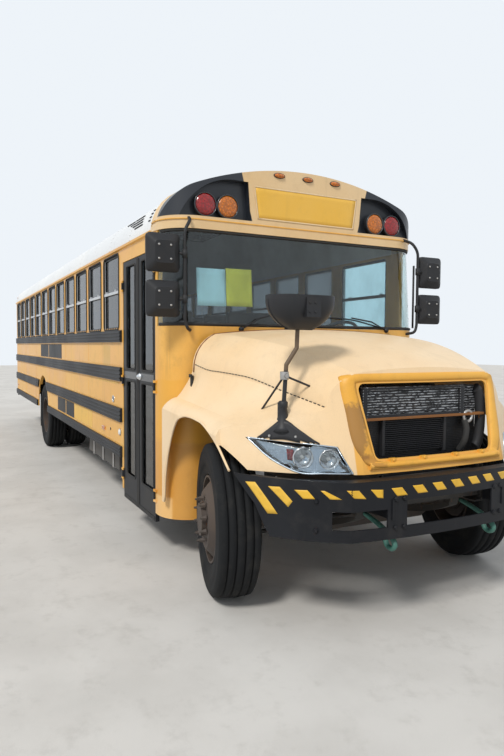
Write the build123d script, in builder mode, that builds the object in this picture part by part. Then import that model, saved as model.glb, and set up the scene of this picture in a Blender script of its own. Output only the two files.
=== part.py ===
from build123d import *
from collections import namedtuple
from math import atan2, cos, degrees, radians, sin, sqrt
import os

# School bus, millimetres. +X forward, +Y left, +Z up.
# The origin is on the ground under the middle of the vehicle.

# Driving dimensions
overall_length = 11860.0
body_width = 2438.0
front_overhang = 985.0
wheelbase = 6900.0
front_x = overall_length / 2
rear_x = -overall_length / 2
front_axle_x = front_x - front_overhang
rear_axle_x = front_axle_x - wheelbase
half_width = body_width / 2

# Body shell
skirt_z = 622.0
floor_top_z = 1040.0
floor_thickness = 40.0
floor_bottom_z = floor_top_z - floor_thickness
eave_z = 2558.0
shoulder_radius = 350.0
crown_radius = 2643.0
wall = 45.0
skirt_sheet = 14.0
seat_gap = 0.3
inner_half = half_width - wall
shoulder_y = half_width - shoulder_radius
crown_centre_z = eave_z - sqrt((crown_radius - shoulder_radius) ** 2 - shoulder_y**2)
roof_top_z = crown_centre_z + crown_radius
shoulder_angle = degrees(atan2(eave_z - crown_centre_z, shoulder_y))

# Stations along the body, measured back from the front bumper face
cowl_setback = 1630.0
door_front_setback = 1952.0
door_width = 948.0
rear_bumper_depth = 130.0
rear_corner = 120.0
cowl_x = front_x - cowl_setback
door_front_x = front_x - door_front_setback
door_rear_x = door_front_x - door_width
rear_wall_x = rear_x + rear_bumper_depth
side_rear_x = rear_wall_x + rear_corner

# Front of the body in plan
plan_corner_radius = 270.0
cowl_bottom_z = 337.0
cowl_open_z = 950.0
cowl_open_y = 640.0
windshield_bottom_z = 1820.0
windshield_lean = 60.0
post_width = 50.0

# Front cap above the windshield
cap_proud = 12.0
cap_length = 340.0
cap_front_thickness = 130.0
pocket_depth = 70.0
pocket_bottom_z = 2655.0

# Windows
window_count = 12
window_pitch = 711.0
window_width = 590.0
window_height = 717.0
window_bottom_z = 1816.0
window_radius = 45.0
first_window_post = 136.0
driver_window_width = 760.0
driver_window_setback = 150.0
sash_depth = 24.0
sash_face = 26.0
glass = 6.0
window_mid_z = window_bottom_z + window_height / 2

# Rear wheel arches
arch_half_length = 520.0
arch_top_z = 1167.0
wheelhouse_clearance = 60.0
wheelhouse_inner_y = 545.0
wheelhouse_sheet = 12.0
wheelhouse_top_z = 1150.0

# Wheels
tyre_radius = 512.0
tyre_width = 274.0
rim_radius = 290.0
rim_width = 236.0
kingpin_y = 860.0
front_wheel_offset = 172.0
rest_steer = -13.6
dual_outer_y = 1062.0
dual_spacing = 340.0
stud_circle_radius = 142.875
stud_count = 10
stud_hole_radius = 13.0
hub_radius = 108.0
disc_bend_radius = 190.0
drum_radius = 205.0
running_fit = 0.05
axle_z = tyre_radius

# Chassis rails
rail_outer_y = 432.0
rail_flange = 76.0
rail_height = 250.0
rail_web = 9.0
rail_top_z = 916.0
rail_front_x = front_x - 170.0
rail_rear_x = rear_wall_x + 60.0
rail_bottom_z = rail_top_z - rail_height

# Entrance door
door_gap = 6.0
split_gap = 10.0
door_bottom_z = 262.0
door_top_z = 2427.0
leaf_thickness = 32.0
leaf_inset = 3.0
leaf_split = 0.493

SIDES = (1, -1)
HAND = {1: "left", -1: "right"}


def block(x0, x1, y0, y1, z0, z1, mode=Mode.ADD):
    """Box between two corners."""
    with Locations(((x0 + x1) / 2, (y0 + y1) / 2, (z0 + z1) / 2)):
        Box(abs(x1 - x0), abs(y1 - y0), abs(z1 - z0), mode=mode)


def rod(centre, radius, length, axis, mode=Mode.ADD):
    """Cylinder about a centre, along X, Y or Z."""
    turn = {"x": (0, 90, 0), "y": (90, 0, 0), "z": (0, 0, 0)}[axis]
    with Locations(Location(centre, turn)):
        Cylinder(radius, length, mode=mode)


def strut(start, end, radius, mode=Mode.ADD):
    """Round bar between two points."""
    line = Vector(*end) - Vector(*start)
    with BuildSketch(Plane(origin=start, z_dir=line)) as bar:
        Circle(radius)
    extrude(bar.sketch, amount=line.length, mode=mode)


def bent_tube(points, radius):
    """Round bar through several points, with rounded bends."""
    for start, end in zip(points, points[1:]):
        strut(start, end, radius)
    with Locations(*points[1:-1]):
        Sphere(radius)


def shell_solid(x0, x1, inset, foot_z, mode=Mode.ADD):
    """Body section, from foot_z up over the roof, extruded from x0 to x1."""
    side = half_width - inset
    with BuildSketch(Plane.YZ.offset(x0)) as section:
        with BuildLine():
            Line((-side, foot_z), (side, foot_z))
            if foot_z < eave_z:
                Line((side, foot_z), (side, eave_z))
                Line((-side, eave_z), (-side, foot_z))
            CenterArc((shoulder_y, eave_z), shoulder_radius - inset, 0, shoulder_angle)
            CenterArc((0, crown_centre_z), crown_radius - inset, shoulder_angle, 180 - 2 * shoulder_angle)
            CenterArc((-shoulder_y, eave_z), shoulder_radius - inset, 180 - shoulder_angle, shoulder_angle)
        make_face()
    extrude(section.sketch, amount=x1 - x0, mode=mode)


def front_plan(back_x, inset, shift):
    """Plan outline of the body's front, with its two round corners."""
    radius = plan_corner_radius - inset
    side = half_width - inset
    front = cowl_x - inset - shift
    bend_x = front - radius
    bend_y = side - radius
    with BuildLine() as outline:
        Line((back_x, -side), (bend_x, -side))
        CenterArc((bend_x, -bend_y), radius, -90, 90)
        Line((front, -bend_y), (front, bend_y))
        CenterArc((bend_x, bend_y), radius, 0, 90)
        Line((bend_x, side), (back_x, side))
        Line((back_x, side), (back_x, -side))
    make_face(outline.edges())


def front_solid(back_x, z0, z1, inset, shift=0.0, mode=Mode.ADD):
    """Front plan outline raised from z0 to z1."""
    with BuildSketch(Plane.XY.offset(z0)) as plan:
        front_plan(back_x, inset, shift)
    extrude(plan.sketch, amount=z1 - z0, mode=mode)


def leaning_front(back_x, z0, z1, inset, shift0, shift1, mode=Mode.ADD):
    """Front plan outline that leans back from z0 to z1."""
    with BuildSketch(Plane.XY.offset(z0)) as foot:
        front_plan(back_x, inset, shift0)
    with BuildSketch(Plane.XY.offset(z1)) as top:
        front_plan(back_x, inset, shift1)
    loft([foot.sketch, top.sketch], ruled=True, mode=mode)


def window_centres(side):
    """Centre and width of each window on one side, front to back."""
    first = door_rear_x - first_window_post - window_width / 2
    rows = [(first - i * window_pitch, window_width) for i in range(window_count)]
    if side > 0:
        centre = door_front_x - driver_window_setback - driver_window_width / 2
        rows.insert(0, (centre, driver_window_width))
    return rows


def rear_arch(inset, y0, y1, mode):
    """Rear wheel arch outline, cut or raised from y0 to y1."""
    half = arch_half_length + inset
    with BuildSketch(Plane.XZ.offset(-y0)) as arch:
        with BuildLine():
            foot = skirt_z - 400
            Polyline((rear_axle_x + half, skirt_z), (rear_axle_x + half, foot), (rear_axle_x - half, foot),
                     (rear_axle_x - half, skirt_z))
            ThreePointArc((rear_axle_x - half, skirt_z), (rear_axle_x, arch_top_z + inset),
                          (rear_axle_x + half, skirt_z))
        make_face()
    extrude(arch.sketch, amount=-(y1 - y0), mode=mode)


def body_side(side, front_end):
    """Side wall: thick above the floor, a sheet skirt below it, windows and arch cut."""
    block(side_rear_x, front_end, side * inner_half, side * half_width, floor_bottom_z, eave_z)
    block(side_rear_x, front_end, side * (half_width - skirt_sheet), side * half_width, skirt_z, floor_bottom_z)
    with BuildSketch(Plane.XZ.offset(-side * half_width)) as openings:
        for centre, width in window_centres(side):
            with Locations((centre, window_mid_z)):
                RectangleRounded(width, window_height, window_radius)
    extrude(openings.sketch, amount=2 * wall, both=True, mode=Mode.SUBTRACT)
    rear_arch(0, side * (half_width + wall), side * (half_width - 2 * wall), Mode.SUBTRACT)


# Hinges of the entrance door: pins on the body, knuckles on the leaves
hinge_pin = 5.0
hinge_knuckle = 9.0
hinge_half = 30.0
door_hinge_y = -(half_width + 8)
door_hinge_heights = (480.0, 1345.0, 2210.0)


def door_hinge_pins(x, out):
    """Pins beside the entrance, each held by two lugs on the body."""
    for z in door_hinge_heights:
        rod((x, door_hinge_y, z), hinge_pin, 2 * hinge_half + 40, "z")
        for end in (z + hinge_half + 11, z - hinge_half - 11):
            rod((x, door_hinge_y, end), hinge_knuckle, 18, "z")
            block(x + out * 2, x + out * 40, -half_width, door_hinge_y - 4, end - 9, end + 9)


def door_hinge_knuckles(x, out):
    """Knuckles of one leaf round the hinge pins."""
    for z in door_hinge_heights:
        rod((x, door_hinge_y, z), hinge_knuckle, 2 * hinge_half, "z")
        block(x - out * 8, x, door_hinge_y, leaf_outer_y + 2, z - hinge_half, z + hinge_half)
        rod((x, door_hinge_y, z), hinge_pin + running_fit, 2 * hinge_half + 4, "z", mode=Mode.SUBTRACT)


# Side walls: the right one carries on over the entrance door
with BuildPart() as side_wall_right:
    body_side(-1, door_rear_x)
    block(door_rear_x, door_front_x, -inner_half, -half_width, door_top_z, eave_z)
    block(door_rear_x - wall, door_rear_x, -inner_half, -half_width, cowl_bottom_z, floor_bottom_z)
    door_hinge_pins(door_rear_x + door_gap, -1)

with BuildPart() as side_wall_left:
    body_side(1, door_front_x)

# Roof between the rear wall and the front cap, with two hatch openings
cap_rear_x = cowl_x - windshield_lean - cap_length
hatch_length = 620.0
hatch_width = 640.0
hatch_stations = (1500.0, -3600.0)

with BuildPart() as roof:
    shell_solid(side_rear_x, cap_rear_x, 0, eave_z)
    shell_solid(side_rear_x, cap_rear_x, wall, eave_z, mode=Mode.SUBTRACT)
    for station in hatch_stations:
        block(station - hatch_length / 2, station + hatch_length / 2, -hatch_width / 2, hatch_width / 2,
              roof_top_z - 200, roof_top_z + 100, mode=Mode.SUBTRACT)

# Front cap: rounded shell with a lamp pocket each side of the sign
cap_front_x = cowl_x - windshield_lean
with BuildPart() as front_header:
    shell_solid(cap_rear_x, cap_front_x + cap_proud, -cap_proud, eave_z)
    front_solid(cap_rear_x - 10, eave_z, roof_top_z + 100, -cap_proud, windshield_lean, mode=Mode.INTERSECT)
    shell_solid(cap_rear_x, cap_front_x - cap_front_thickness, wall, eave_z, mode=Mode.SUBTRACT)
    for side in SIDES:
        with BuildSketch(Plane.YZ.offset(cap_front_x + cap_proud - pocket_depth)):
            with BuildLine():
                Polyline((side * 640, 2955), (side * 545, 2955), (side * 520, pocket_bottom_z),
                         (side * 1105, pocket_bottom_z))
                ThreePointArc((side * 1105, pocket_bottom_z), (side * 940, 2868), (side * 640, 2955))
            make_face()
        extrude(amount=pocket_depth * 2, mode=Mode.SUBTRACT)

# Front cowl: corner panels, firewall and the two posts beside the windshield
with BuildPart() as front_cowl:
    front_solid(door_front_x, cowl_bottom_z, windshield_bottom_z, 0)
    front_solid(door_front_x - 10, cowl_bottom_z, windshield_bottom_z, wall, mode=Mode.SUBTRACT)
    block(door_front_x, cowl_x + 10, -cowl_open_y, cowl_open_y, cowl_bottom_z, cowl_open_z, mode=Mode.SUBTRACT)
    for side in SIDES:
        block(door_front_x, door_front_x + post_width, side * inner_half, side * half_width,
              windshield_bottom_z, eave_z)
    door_hinge_pins(door_front_x - door_gap, 1)

# Windshield: one curved pane from post to post
with BuildPart() as windshield:
    leaning_front(door_front_x - 50, windshield_bottom_z, eave_z, 6, 0, windshield_lean)
    leaning_front(door_front_x - 60, windshield_bottom_z, eave_z, 6 + glass, 0, windshield_lean,
                  mode=Mode.SUBTRACT)
    block(door_front_x - 70, door_front_x + post_width + seat_gap, -half_width, half_width,
          windshield_bottom_z - 10, eave_z + 10, mode=Mode.SUBTRACT)

# Rear wall with its rounded edges, emergency door opening and two windows
rear_door_half = 460.0
rear_door_bottom_z = 1046.0
rear_door_top_z = 2440.0
rear_window_y = 815.0
rear_window_width = 480.0
rear_edge_radius = 100.0
rear_hinge_heights = (1200.0, 1730.0, 2280.0)

rear_leaf_proud = 6.0
rear_hinge_x = rear_wall_x - rear_leaf_proud - hinge_knuckle - 1
rear_hinge_y = -rear_door_half + door_gap

with BuildPart() as rear_wall:
    shell_solid(rear_wall_x, side_rear_x, 0, skirt_z)
    back = rear_wall.faces().sort_by(Axis.X)[0]
    fillet([e for e in back.edges() if e.center().Z > skirt_z + 1], rear_edge_radius)
    shell_solid(rear_wall_x + wall, side_rear_x, wall, skirt_z, mode=Mode.SUBTRACT)
    block(rear_wall_x - 1, rear_wall_x + wall + 1, -rear_door_half, rear_door_half, rear_door_bottom_z,
          rear_door_top_z, mode=Mode.SUBTRACT)
    with BuildSketch(Plane.YZ.offset(rear_wall_x - 1)):
        with Locations((rear_window_y, window_mid_z), (-rear_window_y, window_mid_z)):
            RectangleRounded(rear_window_width, window_height, window_radius)
    extrude(amount=wall + 2, mode=Mode.SUBTRACT)
    for z in rear_hinge_heights:
        rod((rear_hinge_x, rear_hinge_y, z), hinge_pin, 2 * hinge_half + 40, "z")
        for end in (z + hinge_half + 11, z - hinge_half - 11):
            rod((rear_hinge_x, rear_hinge_y, end), hinge_knuckle, 18, "z")
            block(rear_hinge_x - 5, rear_wall_x, rear_hinge_y - 2, rear_hinge_y - 46, end - 9, end + 9)

# Floor with wheelhouses and cross members
step_inner_y = -560.0
cross_member_pitch = 711.0
cross_member_count = 12

with BuildPart() as body_floor:
    front_solid(rear_wall_x + wall, floor_bottom_z, floor_top_z, wall)
    block(door_rear_x, door_front_x, -half_width, step_inner_y, floor_bottom_z - 1, floor_top_z + 1,
          mode=Mode.SUBTRACT)
    x0 = rear_axle_x - arch_half_length - wheelhouse_clearance
    x1 = rear_axle_x + arch_half_length + wheelhouse_clearance
    for side in SIDES:
        block(x0, x1, side * wheelhouse_inner_y, side * inner_half, floor_bottom_z, wheelhouse_top_z)
        block(x0 + wheelhouse_sheet, x1 - wheelhouse_sheet, side * (wheelhouse_inner_y + wheelhouse_sheet),
              side * inner_half, floor_bottom_z, wheelhouse_top_z - wheelhouse_sheet, mode=Mode.SUBTRACT)
    for i in range(cross_member_count):
        x = side_rear_x + 300 + i * cross_member_pitch
        clear = x < x0 - 60 or x > x1 + 60
        reach = inner_half - 24 if clear else wheelhouse_inner_y
        block(x - 25, x + 25, -reach, reach, rail_top_z, floor_bottom_z)

# Step well: three treads inside the entrance
tread_sheet = 12.0
stringer_drop = 30.0
first_tread_z = 345.0
tread_count = 3
tread_rise = (floor_top_z - first_tread_z) / tread_count
tread_run = (inner_half + step_inner_y) / tread_count

with BuildPart() as step_well:
    for i in range(tread_count):
        y0 = -inner_half + i * tread_run
        z0 = first_tread_z + i * tread_rise
        block(door_rear_x, door_front_x, y0, y0 + tread_run, z0 - tread_sheet, z0)
        top = z0 + tread_rise if i < tread_count - 1 else floor_top_z
        block(door_rear_x, door_front_x, y0 + tread_run - tread_sheet, y0 + tread_run, z0, top)
    for x in (door_rear_x, door_front_x - tread_sheet):
        with BuildSketch(Plane.YZ.offset(x)):
            with BuildLine():
                Polyline((-inner_half, first_tread_z - stringer_drop),
                         (step_inner_y, first_tread_z + 2 * tread_rise - stringer_drop),
                         (step_inner_y, floor_top_z), (-inner_half, floor_top_z), close=True)
            make_face()
        extrude(amount=tread_sheet)

# Rub rails on both sides: centre height, band height
RubRail = namedtuple("RubRail", "centre_z height front_gap")
rub_rails_table = (
    RubRail(1755.0, 110.0, 40.0),
    RubRail(1399.0, 130.0, 40.0),
    RubRail(1016.0, 130.0, 40.0),
    RubRail(672.0, 100.0, 40.0),
)
rail_proud = 22.0

with BuildPart() as rub_rails:
    for side in SIDES:
        front_end = door_rear_x if side < 0 else door_front_x
        for row in rub_rails_table:
            y0 = side * half_width
            block(side_rear_x, front_end - row.front_gap, y0, side * (half_width + rail_proud),
                  row.centre_z - row.height / 2, row.centre_z + row.height / 2)
        rear_arch(45, side * (half_width + 2 * rail_proud), side * (half_width - 1), Mode.SUBTRACT)

# Window sashes and panes
with BuildPart() as window_sashes:
    for side in SIDES:
        outer_h = window_height - 2 * seat_gap
        with BuildSketch(Plane.XZ.offset(-side * (half_width - 10))):
            for centre, width in window_centres(side):
                outer_w = width - 2 * seat_gap
                with Locations((centre, window_mid_z)):
                    RectangleRounded(outer_w, outer_h, window_radius)
                    Rectangle(outer_w - 2 * sash_face, outer_h - 2 * sash_face, mode=Mode.SUBTRACT)
                    Rectangle(outer_w - sash_face, sash_face)
        extrude(amount=side * sash_depth)

with BuildPart() as window_glass:
    pane_h = (window_height - 3 * sash_face) / 2 - 4 * seat_gap
    pane_step = (window_height - sash_face) / 4
    for side in SIDES:
        with BuildSketch(Plane.XZ.offset(-side * (half_width - 18))):
            for centre, width in window_centres(side):
                with Locations((centre, window_mid_z - pane_step), (centre, window_mid_z + pane_step)):
                    Rectangle(width - 2 * sash_face - 4 * seat_gap, pane_h)
        extrude(amount=side * glass)
    for y in (rear_window_y, -rear_window_y):
        with BuildSketch(Plane.YZ.offset(rear_wall_x + 18)):
            with Locations((y, window_mid_z)):
                RectangleRounded(rear_window_width - 1, window_height - 1, window_radius)
        extrude(amount=glass)

# Entrance door: two leaves that swing out, each with two panes
Pane = namedtuple("Pane", "bottom_z top_z")
door_panes = (Pane(498.0, 1352.0), Pane(1458.0, 2375.0))
split_x = door_rear_x + door_width * leaf_split
leaf_outer_y = -(half_width - leaf_inset)
leaf_inner_y = leaf_outer_y + leaf_thickness
Leaf = namedtuple("Leaf", "name x0 x1 pane_x0 pane_x1")
leaves = (
    Leaf("front", split_x + split_gap / 2, door_front_x - door_gap, door_rear_x + 576, door_rear_x + 898),
    Leaf("rear", door_rear_x + door_gap, split_x - split_gap / 2, door_rear_x + 117, door_rear_x + 386),
)


def door_leaf(leaf):
    """Leaf frame with its two pane openings."""
    block(leaf.x0, leaf.x1, leaf_outer_y, leaf_inner_y, door_bottom_z, door_top_z - door_gap)
    for pane in door_panes:
        block(leaf.pane_x0, leaf.pane_x1, leaf_outer_y - 5, leaf_inner_y + 5, pane.bottom_z, pane.top_z,
              mode=Mode.SUBTRACT)


def door_leaf_glass(leaf):
    """Two panes set in the middle of the leaf."""
    mid = (leaf_outer_y + leaf_inner_y) / 2
    for pane in door_panes:
        block(leaf.pane_x0 + seat_gap, leaf.pane_x1 - seat_gap, mid - glass / 2, mid + glass / 2,
              pane.bottom_z + seat_gap, pane.top_z - seat_gap)


with BuildPart() as door_front_leaf:
    door_leaf(leaves[0])
    door_hinge_knuckles(door_front_x - door_gap, 1)
with BuildPart() as door_front_glass:
    door_leaf_glass(leaves[0])
with BuildPart() as door_rear_leaf:
    door_leaf(leaves[1])
    door_hinge_knuckles(door_rear_x + door_gap, -1)
with BuildPart() as door_rear_glass:
    door_leaf_glass(leaves[1])

# Rear emergency door with its two panes, outer handle and hinge knuckles
rear_panes = (Pane(1120.0, 1600.0), Pane(1830.0, 2380.0))
with BuildPart() as rear_door:
    block(rear_wall_x - rear_leaf_proud, rear_wall_x + 32, -rear_door_half + door_gap,
          rear_door_half - door_gap, rear_door_bottom_z + door_gap, rear_door_top_z - door_gap)
    for pane in rear_panes:
        block(rear_wall_x - 20, rear_wall_x + 50, -rear_door_half + 110, rear_door_half - 110,
              pane.bottom_z, pane.top_z, mode=Mode.SUBTRACT)
    block(rear_wall_x - 45, rear_wall_x - rear_leaf_proud, rear_door_half - 200, rear_door_half - 60,
          1690, 1720)
    for z in rear_hinge_heights:
        rod((rear_hinge_x, rear_hinge_y, z), hinge_knuckle, 2 * hinge_half, "z")
        block(rear_hinge_x, rear_wall_x, rear_hinge_y, rear_hinge_y + 8, z - hinge_half, z + hinge_half)
        rod((rear_hinge_x, rear_hinge_y, z), hinge_pin + running_fit, 2 * hinge_half + 4, "z",
            mode=Mode.SUBTRACT)

with BuildPart() as rear_door_glass:
    for pane in rear_panes:
        block(rear_wall_x + 10, rear_wall_x + 10 + glass, -rear_door_half + 110 + seat_gap,
              rear_door_half - 110 - seat_gap, pane.bottom_z + seat_gap, pane.top_z - seat_gap)

# Roof hatches: lids that rest on a kerb round the opening
hatch_kerb = 30.0
hatch_overlap = 40.0
hatch_kerb_z = roof_top_z + 12.0
hatch_lid = 28.0
hatch_hinge_x = hatch_length / 2 + hatch_overlap + hinge_knuckle + 3
hatch_hinge_z = roof_top_z + seat_gap + hinge_knuckle
hatch_hinge_ys = (-150.0, 150.0)
with BuildPart() as hatch_kerbs:
    for station in hatch_stations:
        x = station + hatch_hinge_x
        for y in hatch_hinge_ys:
            rod((x, y, hatch_hinge_z), hinge_pin, 2 * hinge_half + 30, "y")
            for end in (y - hinge_half - 9, y + hinge_half + 9):
                rod((x, end, hatch_hinge_z), hinge_knuckle, 14, "y")
                block(station + hatch_length / 2 - 5, x, end - 7, end + 7, roof_top_z + seat_gap,
                      hatch_kerb_z - door_gap)
        block(station - hatch_length / 2, station + hatch_length / 2, -hatch_width / 2, hatch_width / 2,
              roof_top_z - 70, hatch_kerb_z)
        block(station - hatch_length / 2 + hatch_kerb, station + hatch_length / 2 - hatch_kerb,
              -hatch_width / 2 + hatch_kerb, hatch_width / 2 - hatch_kerb, roof_top_z - 80,
              hatch_kerb_z + 10, mode=Mode.SUBTRACT)


def hatch_lid_solid(station):
    """Lid with a low crown."""
    with BuildSketch(Plane.XY.offset(hatch_kerb_z + seat_gap)) as lid:
        with Locations((station, 0)):
            RectangleRounded(hatch_length + 2 * hatch_overlap, hatch_width + 2 * hatch_overlap, 60)
    extrude(lid.sketch, amount=hatch_lid - seat_gap)
    x = station + hatch_hinge_x
    for y in hatch_hinge_ys:
        rod((x, y, hatch_hinge_z), hinge_knuckle, 2 * hinge_half, "y")
        block(x - hinge_knuckle - 8, x, y - hinge_half, y + hinge_half, hatch_kerb_z + seat_gap,
              hatch_hinge_z + hinge_knuckle)
        rod((x, y, hatch_hinge_z), hinge_pin + running_fit, 2 * hinge_half + 4, "y", mode=Mode.SUBTRACT)


with BuildPart() as roof_hatch_front:
    hatch_lid_solid(hatch_stations[0])
with BuildPart() as roof_hatch_rear:
    hatch_lid_solid(hatch_stations[1])

# Chassis frame: two C rails, cross members and front horns for the hood hinge
hood_hinge_x = front_x - 170.0
hood_hinge_z = 948.0
horn_y = 400.0
horn_thickness = 14.0
horn_setback = 4.0
hinge_pin_radius = 12.0
hinge_eye_radius = 20.0
lug_y = 406.0
lug_thickness = 14.0
horn_top_z = hood_hinge_z + 22.0

SpringPack = namedtuple("SpringPack", "x half_length centre_y seat_z end_z depth "
                                      "hanger_reach hanger_y0 hanger_y1 hanger_rise")
front_beam_z = 400.0
spring_end = 24.0
spring_packs = (
    SpringPack(front_axle_x, 600.0, 394.0, front_beam_z + 40, 590.0, 60.0, 585.0,
               rail_outer_y - rail_flange, rail_outer_y, 2.0),
    SpringPack(rear_axle_x, 680.0, 482.0, axle_z + 75, 640.0, 76.0, 665.0, rail_outer_y - 2, 520.0, 90.0),
)

with BuildPart() as chassis_frame:
    for side in SIDES:
        outer = side * rail_outer_y
        block(rail_rear_x, rail_front_x, outer, outer - side * rail_web, rail_bottom_z, rail_top_z)
        for z in (rail_bottom_z, rail_top_z - rail_web):
            block(rail_rear_x, rail_front_x, outer, outer - side * rail_flange, z, z + rail_web)
        block(hood_hinge_x - 60, hood_hinge_x - horn_setback, side * horn_y, side * (horn_y - horn_thickness),
              rail_bottom_z + 60, horn_top_z)
        rod((hood_hinge_x, side * (horn_y - horn_thickness / 2), hood_hinge_z), hinge_eye_radius, horn_thickness,
            "y")
        rod((hood_hinge_x, side * (horn_y + 10), hood_hinge_z), hinge_pin_radius, 48, "y")
        # Spring hangers, engine mounts and gearbox mounts
        for row in spring_packs:
            for x in (row.x - row.hanger_reach, row.x + row.hanger_reach):
                block(x - 25, x + 25, side * row.hanger_y0, side * row.hanger_y1,
                      row.end_z + spring_end + seat_gap, rail_bottom_z + row.hanger_rise)
        block(4600, 4700, side * (330 + seat_gap), side * (rail_outer_y - 2), 760, 820)
        block(3700, 3760, side * (190 + seat_gap), side * (rail_outer_y - 2), 780, 820)
    for x in (rail_front_x - 40, 3300.0, 2200.0, 700.0, -900.0, -3100.0, -4300.0, rail_rear_x + 40):
        block(x - 30, x + 30, -rail_outer_y + rail_web, rail_outer_y - rail_web, rail_bottom_z + 40,
              rail_top_z - 40)

# Front bumper: bent shell with a face panel
bumper_top_z = 912.0
bumper_bottom_z = 570.0
bumper_sheet = 12.0
bumper_end_y = 1165.0


def bumper_plan(inset, mode=Mode.ADD):
    """Front bumper outline in plan, from its right end to its left end."""
    with BuildLine() as outline:
        nose = front_x - inset
        end_y = bumper_end_y - inset * 0.6
        Line((front_x - 660, -end_y), (front_x - 600, -end_y))
        ThreePointArc((front_x - 600, -end_y), (front_x - 270, -960 + inset * 0.7), (nose - 55, -700))
        ThreePointArc((nose - 55, -700), (nose, 0), (nose - 55, 700))
        ThreePointArc((nose - 55, 700), (front_x - 270, 960 - inset * 0.7), (front_x - 600, end_y))
        Line((front_x - 600, end_y), (front_x - 660, end_y))
        Line((front_x - 660, end_y), (front_x - 660, -end_y))
    make_face(outline.edges(), mode=mode)


bumper_flange = 80.0
BumperOpening = namedtuple("BumperOpening", "y0 y1 bottom_z top_z")
bumper_openings = (
    BumperOpening(-790.0, -470.0, 640.0, 745.0),
    BumperOpening(-340.0, 340.0, 640.0, 790.0),
    BumperOpening(470.0, 790.0, 640.0, 745.0),
)
with BuildPart() as front_bumper:
    with BuildSketch(Plane.XY.offset(bumper_bottom_z)):
        bumper_plan(0)
        bumper_plan(bumper_sheet, Mode.SUBTRACT)
    extrude(amount=bumper_top_z - bumper_bottom_z)
    with BuildSketch(Plane.XY.offset(bumper_top_z - bumper_sheet)):
        bumper_plan(0)
        bumper_plan(bumper_flange, Mode.SUBTRACT)
        with Locations((front_x - 900, 0)):
            Rectangle(2 * 400, 2600, mode=Mode.SUBTRACT)
    extrude(amount=bumper_sheet)
    with BuildSketch(Plane.XZ.offset(-1500)):
        end_cut = [(front_x - 900, bumper_top_z + 20), (front_x - 630, bumper_top_z + 20),
                           (front_x - 465, 750), (front_x - 375, bumper_bottom_z - 10),
                           (front_x - 900, bumper_bottom_z - 10)]
        with BuildLine():
            Polyline(*end_cut, close=True)
        make_face()
    extrude(amount=3000, mode=Mode.SUBTRACT)
    for opening in bumper_openings:
        block(front_x - 300, front_x + 10, opening.y0, opening.y1, opening.bottom_z, opening.top_z,
              mode=Mode.SUBTRACT)
    for side in SIDES:
        block(rail_front_x - 220, front_x - bumper_sheet - 2, side * (rail_outer_y + seat_gap),
              side * (rail_outer_y + 14), 680, 800)

# Rear bumper
with BuildPart() as rear_bumper:
    block(rear_x, rear_wall_x, -1190, 1190, 560, 800)
    block(rear_x + 10, rear_wall_x + 1, -1180, 1180, 550, 790, mode=Mode.SUBTRACT)

# Axles, springs and drive line
gearbox_x = 3600.0
gearbox_z = 620.0
front_spindle_radius = 30.0
rear_spindle_radius = 45.0
kingpin_radius = 22.0
axle_eye_height = 110.0
with BuildPart() as front_axle:
    block(front_axle_x - 45, front_axle_x + 45, -620, 620, front_beam_z - 50, front_beam_z + 40)
    for side in SIDES:
        with BuildSketch(Plane.XZ.offset(-side * 620)):
            with Locations((front_axle_x, front_beam_z)):
                Rectangle(90, 90)
        with BuildSketch(Plane.XZ.offset(-side * (kingpin_y - 45))):
            with Locations((front_axle_x, axle_z)):
                Rectangle(80, 100)
        loft()
        rod((front_axle_x, side * kingpin_y, axle_z), 48, axle_eye_height, "z")
        rod((front_axle_x, side * kingpin_y, axle_z), kingpin_radius + running_fit, 300, "z",
            mode=Mode.SUBTRACT)

with BuildPart() as rear_axle:
    rod((rear_axle_x, 0, axle_z), 75, 1160, "y")
    rod((rear_axle_x, 0, axle_z), rear_spindle_radius, 2 * (dual_outer_y - 20), "y")
    with Locations((rear_axle_x, 0, axle_z)):
        Sphere(210)
    rod((rear_axle_x + 220, 0, axle_z), 90, 160, "x")
    shaft_x = rear_axle_x + 290
    strut((shaft_x, 0, axle_z), (gearbox_x - 3, 0, gearbox_z), 50)

spring_width = 76.0

with BuildPart() as leaf_springs:
    for side in SIDES:
        for row in spring_packs:
            y0 = side * (row.centre_y - spring_width / 2)
            with BuildSketch(Plane.XZ.offset(-y0)):
                with BuildLine():
                    x0, x1 = row.x - row.half_length, row.x + row.half_length
                    top = row.seat_z + row.depth
                    ThreePointArc((x0, row.end_z), (row.x, row.seat_z + seat_gap), (x1, row.end_z))
                    Line((x1, row.end_z), (x1, row.end_z + spring_end))
                    ThreePointArc((x1, row.end_z + spring_end), (row.x, top), (x0, row.end_z + spring_end))
                    Line((x0, row.end_z + spring_end), (x0, row.end_z))
                make_face()
            extrude(amount=-side * spring_width)

# Steering linkage
tie_arm = 170.0
arm_thickness = 26.0
arm_top_z = 400.0
tie_z = 340.0
tie_pin_radius = 12.0
open_eye_gap = 5.5
backing_end = 98.0

# Tyres and rims


def wheel_plane(x, y, steer):
    """Plane through a wheel centre: local X along the axle, local Y up."""
    turn = radians(steer)
    return Plane(origin=(x, y, axle_z), x_dir=(-sin(turn), cos(turn), 0), z_dir=(cos(turn), sin(turn), 0))


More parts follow.
